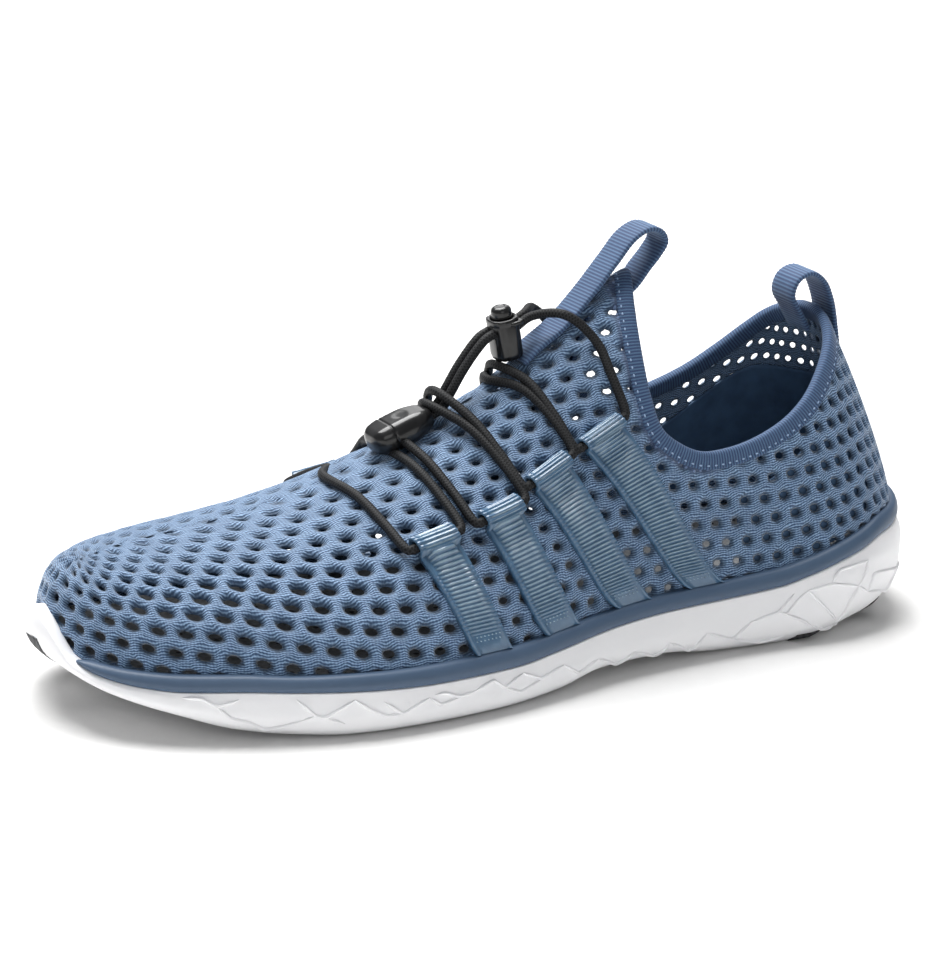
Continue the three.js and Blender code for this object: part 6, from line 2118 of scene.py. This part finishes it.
@dataclass
class CordLock:
    """Spring lock on the lace with its button, and the clip on the lace's ends."""

    sides: int = 64

    def _lathe(self, rows: Sequence[tuple[float, float]], shape: Callable[[Array], Array]) -> Array:
        """Rings of a turned shape with its section given by a function of the angle."""
        turn = np.arange(self.sides) * 2 * np.pi / self.sides
        radius = shape(turn)
        return np.stack([np.column_stack([r * radius * np.cos(turn), r * radius * np.sin(turn), np.full(self.sides, z)])
                         for r, z in rows])

    def build(self) -> None:
        """Makes the barrel, the button and the clip."""
        half, high, stem = LOCK_DIAMETER / 2, LOCK_HEIGHT, PLUNGER_DIAMETER / 2
        draft = Draft()
        power = 2.7

        def lobed(turn: Array) -> Array:
            base = (abs(np.cos(turn) / 1.12) ** power + abs(np.sin(turn)) ** power) ** (-1 / power)
            grooves = sum(np.exp(-(((turn - a + np.pi) % (2 * np.pi) - np.pi) / 0.07) ** 2) for a in
                          np.radians((28, 52, 128, 152, 208, 232, 308, 332)))
            return base * half * (1 - 0.07 * grooves)

        def round_(turn: Array) -> Array:
            return np.ones_like(turn)

        outside = [(0.0, 0.2), (0.7, 0.15), (0.84, 0.3), (0.95, 0.9), (1.0, 2.0), (1.0, high * 0.5), (1.0, high - 2.2),
                   (0.985, high - 1.9), (1.0, high - 1.6), (1.0, high - 0.6), (0.975, high - 0.2), (0.93, high)]
        rings = self._lathe(outside, lobed)
        bore = stem + 0.35
        hole = self._lathe([(bore + 0.35, high), (bore, high - 0.4), (bore, high - 8.2), (0.0, high - 8.2)], round_)
        draft.grid(np.concatenate([rings, hole]), wrap_columns=True)
        tab = self._slab((3.2, 2.2, high - 1.6), (4.4, 4.6, 1.3))
        draft.add(*tab)
        mesh = draft.mesh("lock_barrel_mesh")
        self._set(mesh, LOCK_SEAT)
        piece("lock_barrel", outward(mesh), PLASTIC, ["cord_lock_barrel"])
        draft = Draft()
        top = high + PLUNGER_TRAVEL
        rows = [(0.0, high - 4.6), (stem, high - 4.6), (stem, top - 1.2), (stem * 0.97, top - 0.7), (stem * 0.86, top - 0.1),
                (stem * 0.66, top + 0.3), (stem * 0.5, top + 0.42), (stem * 0.44, top + 0.3), (stem * 0.2, top + 0.34),
                (0.0, top + 0.36)]
        draft.grid(self._lathe(rows, round_), wrap_columns=True)
        mesh = draft.mesh("lock_button_mesh")
        self._set(mesh, LOCK_SEAT)
        piece("lock_button", outward(mesh), PLASTIC, ["cord_lock_plunger"], body="plunger")
        self._clip()

    @staticmethod
    def _slab(middle: tuple[float, float, float], size: tuple[float, float, float]) -> tuple[Array, list[list[int]]]:
        """Small plate with rounded corners."""
        turn = np.arange(24) * 2 * np.pi / 24
        flat = np.column_stack([np.sign(np.cos(turn)) * abs(np.cos(turn)) ** 0.5 * size[0] / 2,
                                np.sign(np.sin(turn)) * abs(np.sin(turn)) ** 0.5 * size[1] / 2])
        rings = []
        for share, z in ((0.9, -0.5), (1.0, -0.35), (1.0, 0.35), (0.9, 0.5)):
            rings.append(np.column_stack([flat * share, np.full(24, z * size[2])]) + np.array(middle))
        points = np.concatenate(rings)
        faces = [[r * 24 + i, r * 24 + (i + 1) % 24, (r + 1) * 24 + (i + 1) % 24, (r + 1) * 24 + i]
                 for r in range(3) for i in range(24)]
        faces += [list(range(23, -1, -1)), list(range(72, 96))]
        return points, faces

    @staticmethod
    def _set(mesh: bpy.types.Mesh, seat: tuple[float, float, float, float]) -> None:
        """Puts a mesh on its seat."""
        turn, place = seat_matrix(seat)
        rows = [[*turn[i], place[i] * MM] for i in range(3)] + [[0, 0, 0, 1]]
        mesh.transform(Matrix([[float(v) for v in row] for row in rows]))

    def _clip(self) -> None:
        """Pod on the lace's ends, with a seam and a dimple."""
        shape = Table(("thick",), ((-0.5, 0.3), (-0.485, 0.52), (-0.46, 0.7), (-0.36, 0.92), (-0.2, 1.0), (0.1, 0.99),
                                   (0.32, 0.86), (0.44, 0.68), (0.48, 0.56), (0.5, 0.36)))
        along = np.concatenate([np.linspace(-0.5, -0.46, 5), np.linspace(-0.44, 0.44, 90), np.linspace(0.46, 0.5, 5)])
        turn = np.arange(self.sides) * 2 * np.pi / self.sides
        power = 2.6
        base = (abs(np.cos(turn)) ** power + abs(np.sin(turn)) ** power) ** (-1 / power)
        thick = shape.read("thick", along)
        thick = thick - 0.07 * np.exp(-(((along + 0.185) / 0.014) ** 2))
        rings = []
        for a, s in zip(along, thick):
            x = CLIP_WIDTH / 2 * s * base * np.cos(turn)
            z = CLIP_THICKNESS / 2 * s * base * np.sin(turn)
            y = np.full(self.sides, a * CLIP_LENGTH)
            z = np.where(z > 0, np.minimum(z, CLIP_THICKNESS * 0.44 * s + 0.1), z)
            pit = np.exp(-((np.hypot(x, y - 1.5) / 2.1) ** 4)) * (z > 0)
            rings.append(np.column_stack([x, y, z - 0.22 * pit]))
        rings = np.stack(rings)
        draft = Draft()
        draft.grid(rings, wrap_columns=True)
        draft.cap(rings[0])
        draft.cap(rings[-1], flip=True)
        mesh = draft.mesh("end_clip_mesh")
        self._set(mesh, CLIP_SEAT)
        piece("end_clip", outward(mesh), PLASTIC, ["cord_end_clip"])


@dataclass
class Webbing:
    """Pull loop of ribbed webbing."""

    name: str
    node: str
    rows: tuple[tuple[float, float], ...]
    width: float
    across: float
    thickness: float = 1.5

    def build(self) -> None:
        """Sweeps the webbing along its line in the side view."""
        line = spline(np.array([(0.0, along_y(at), z * PEAK_HEIGHT) for at, z in self.rows]), 14)
        line = even(line, int(line_length(line) / 0.55))
        along = unit(np.gradient(line, axis=0))
        across = np.array([1.0, 0.0, 0.0])
        lift = np.cross(across, along)
        middle = self.across * BALL_WIDTH
        half, thick = self.width / 2, self.thickness / 2
        run = np.arange(len(line)) * 0.55
        rib = 0.1 * np.cos(2 * np.pi * run / 1.1)
        shape = [(-half, 0.0), (-half + 0.15, 0.7), (-half + 0.6, 1.0), (-half * 0.45, 1.04), (0.0, 1.0), (half * 0.45, 1.04),
                 (half - 0.6, 1.0), (half - 0.15, 0.7), (half, 0.0)]
        shape += [(x, -t) for x, t in shape[-2:0:-1]]
        columns = [line + across * (middle + x) + lift * (t * thick + np.sign(t) * rib * abs(t))[:, None] for x, t in shape]
        rings = np.stack(columns, 1)
        draft = Draft()
        draft.grid(rings, wrap_columns=True)
        draft.cap(rings[0])
        draft.cap(rings[-1], flip=True)
        piece(self.name, outward(draft.mesh(self.name + "_mesh")), WEBBING, [self.node])


@dataclass(frozen=True)
class TreadFinish(MouldedFinish):
    """Outsole rubber with fine slanting ribs."""

    pitch: float = 0.0019

    def dress(self, shader: Shader) -> None:
        """Ribs across the pads with a rubber grain."""
        where = shader.objects()
        x, y, _ = shader.split(where)
        rib = shader.ramp(shader.stripes(x * 0.5 + y * 0.87, self.pitch), 0.25, 0.6)
        grain = shader.noise(where, 1100.0, 3.0, 0.6)
        wear = shader.ramp(shader.noise(where, 60.0, 4.0, 0.6), 0.5, 0.75)
        tone = shader.mix(rib, (0.02, 0.021, 0.023), self.colour)
        tone = shader.mix(wear * 0.35, tone, self.cloud)
        shader.set(Base_Color=tone, Roughness=0.6 + grain * 0.15, Normal=shader.bump(rib + grain * 0.15, 0.0004, 0.7))


TREAD = TreadFinish("tread_rubber_ribs", "outsole_rubber", (0.04, 0.041, 0.045), 0.6, cloud=(0.075, 0.076, 0.08))
STITCH_DARK = Finish("pale_dots", "strap_film", (0.26, 0.38, 0.48), 0.45)


def main() -> None:
    """Builds the scene: stage and loose cords first, then the shoe from the inside out."""
    logging.basicConfig(level=logging.INFO, format="%(message)s")
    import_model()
    Stage().build()
    CordLock().build()
    lacing = Lacing()
    lacing.loose_ends()
    lacing.build()
    Insole().build()
    HeelLining().build()
    Sole().build()
    KnitUpper().build()
    Rand().build()
    Collar().build()
    for index in range(len(STRAPS)):
        for side in Side:
            Strap(index, side).build()
    Webbing("front_loop", "front_pull_loop", FRONT_LOOP, 11.0, -0.018).build()
    Webbing("heel_loop", "heel_pull_loop", HEEL_LOOP, 12.0, -0.045).build()


if __name__ == "__main__":
    main()
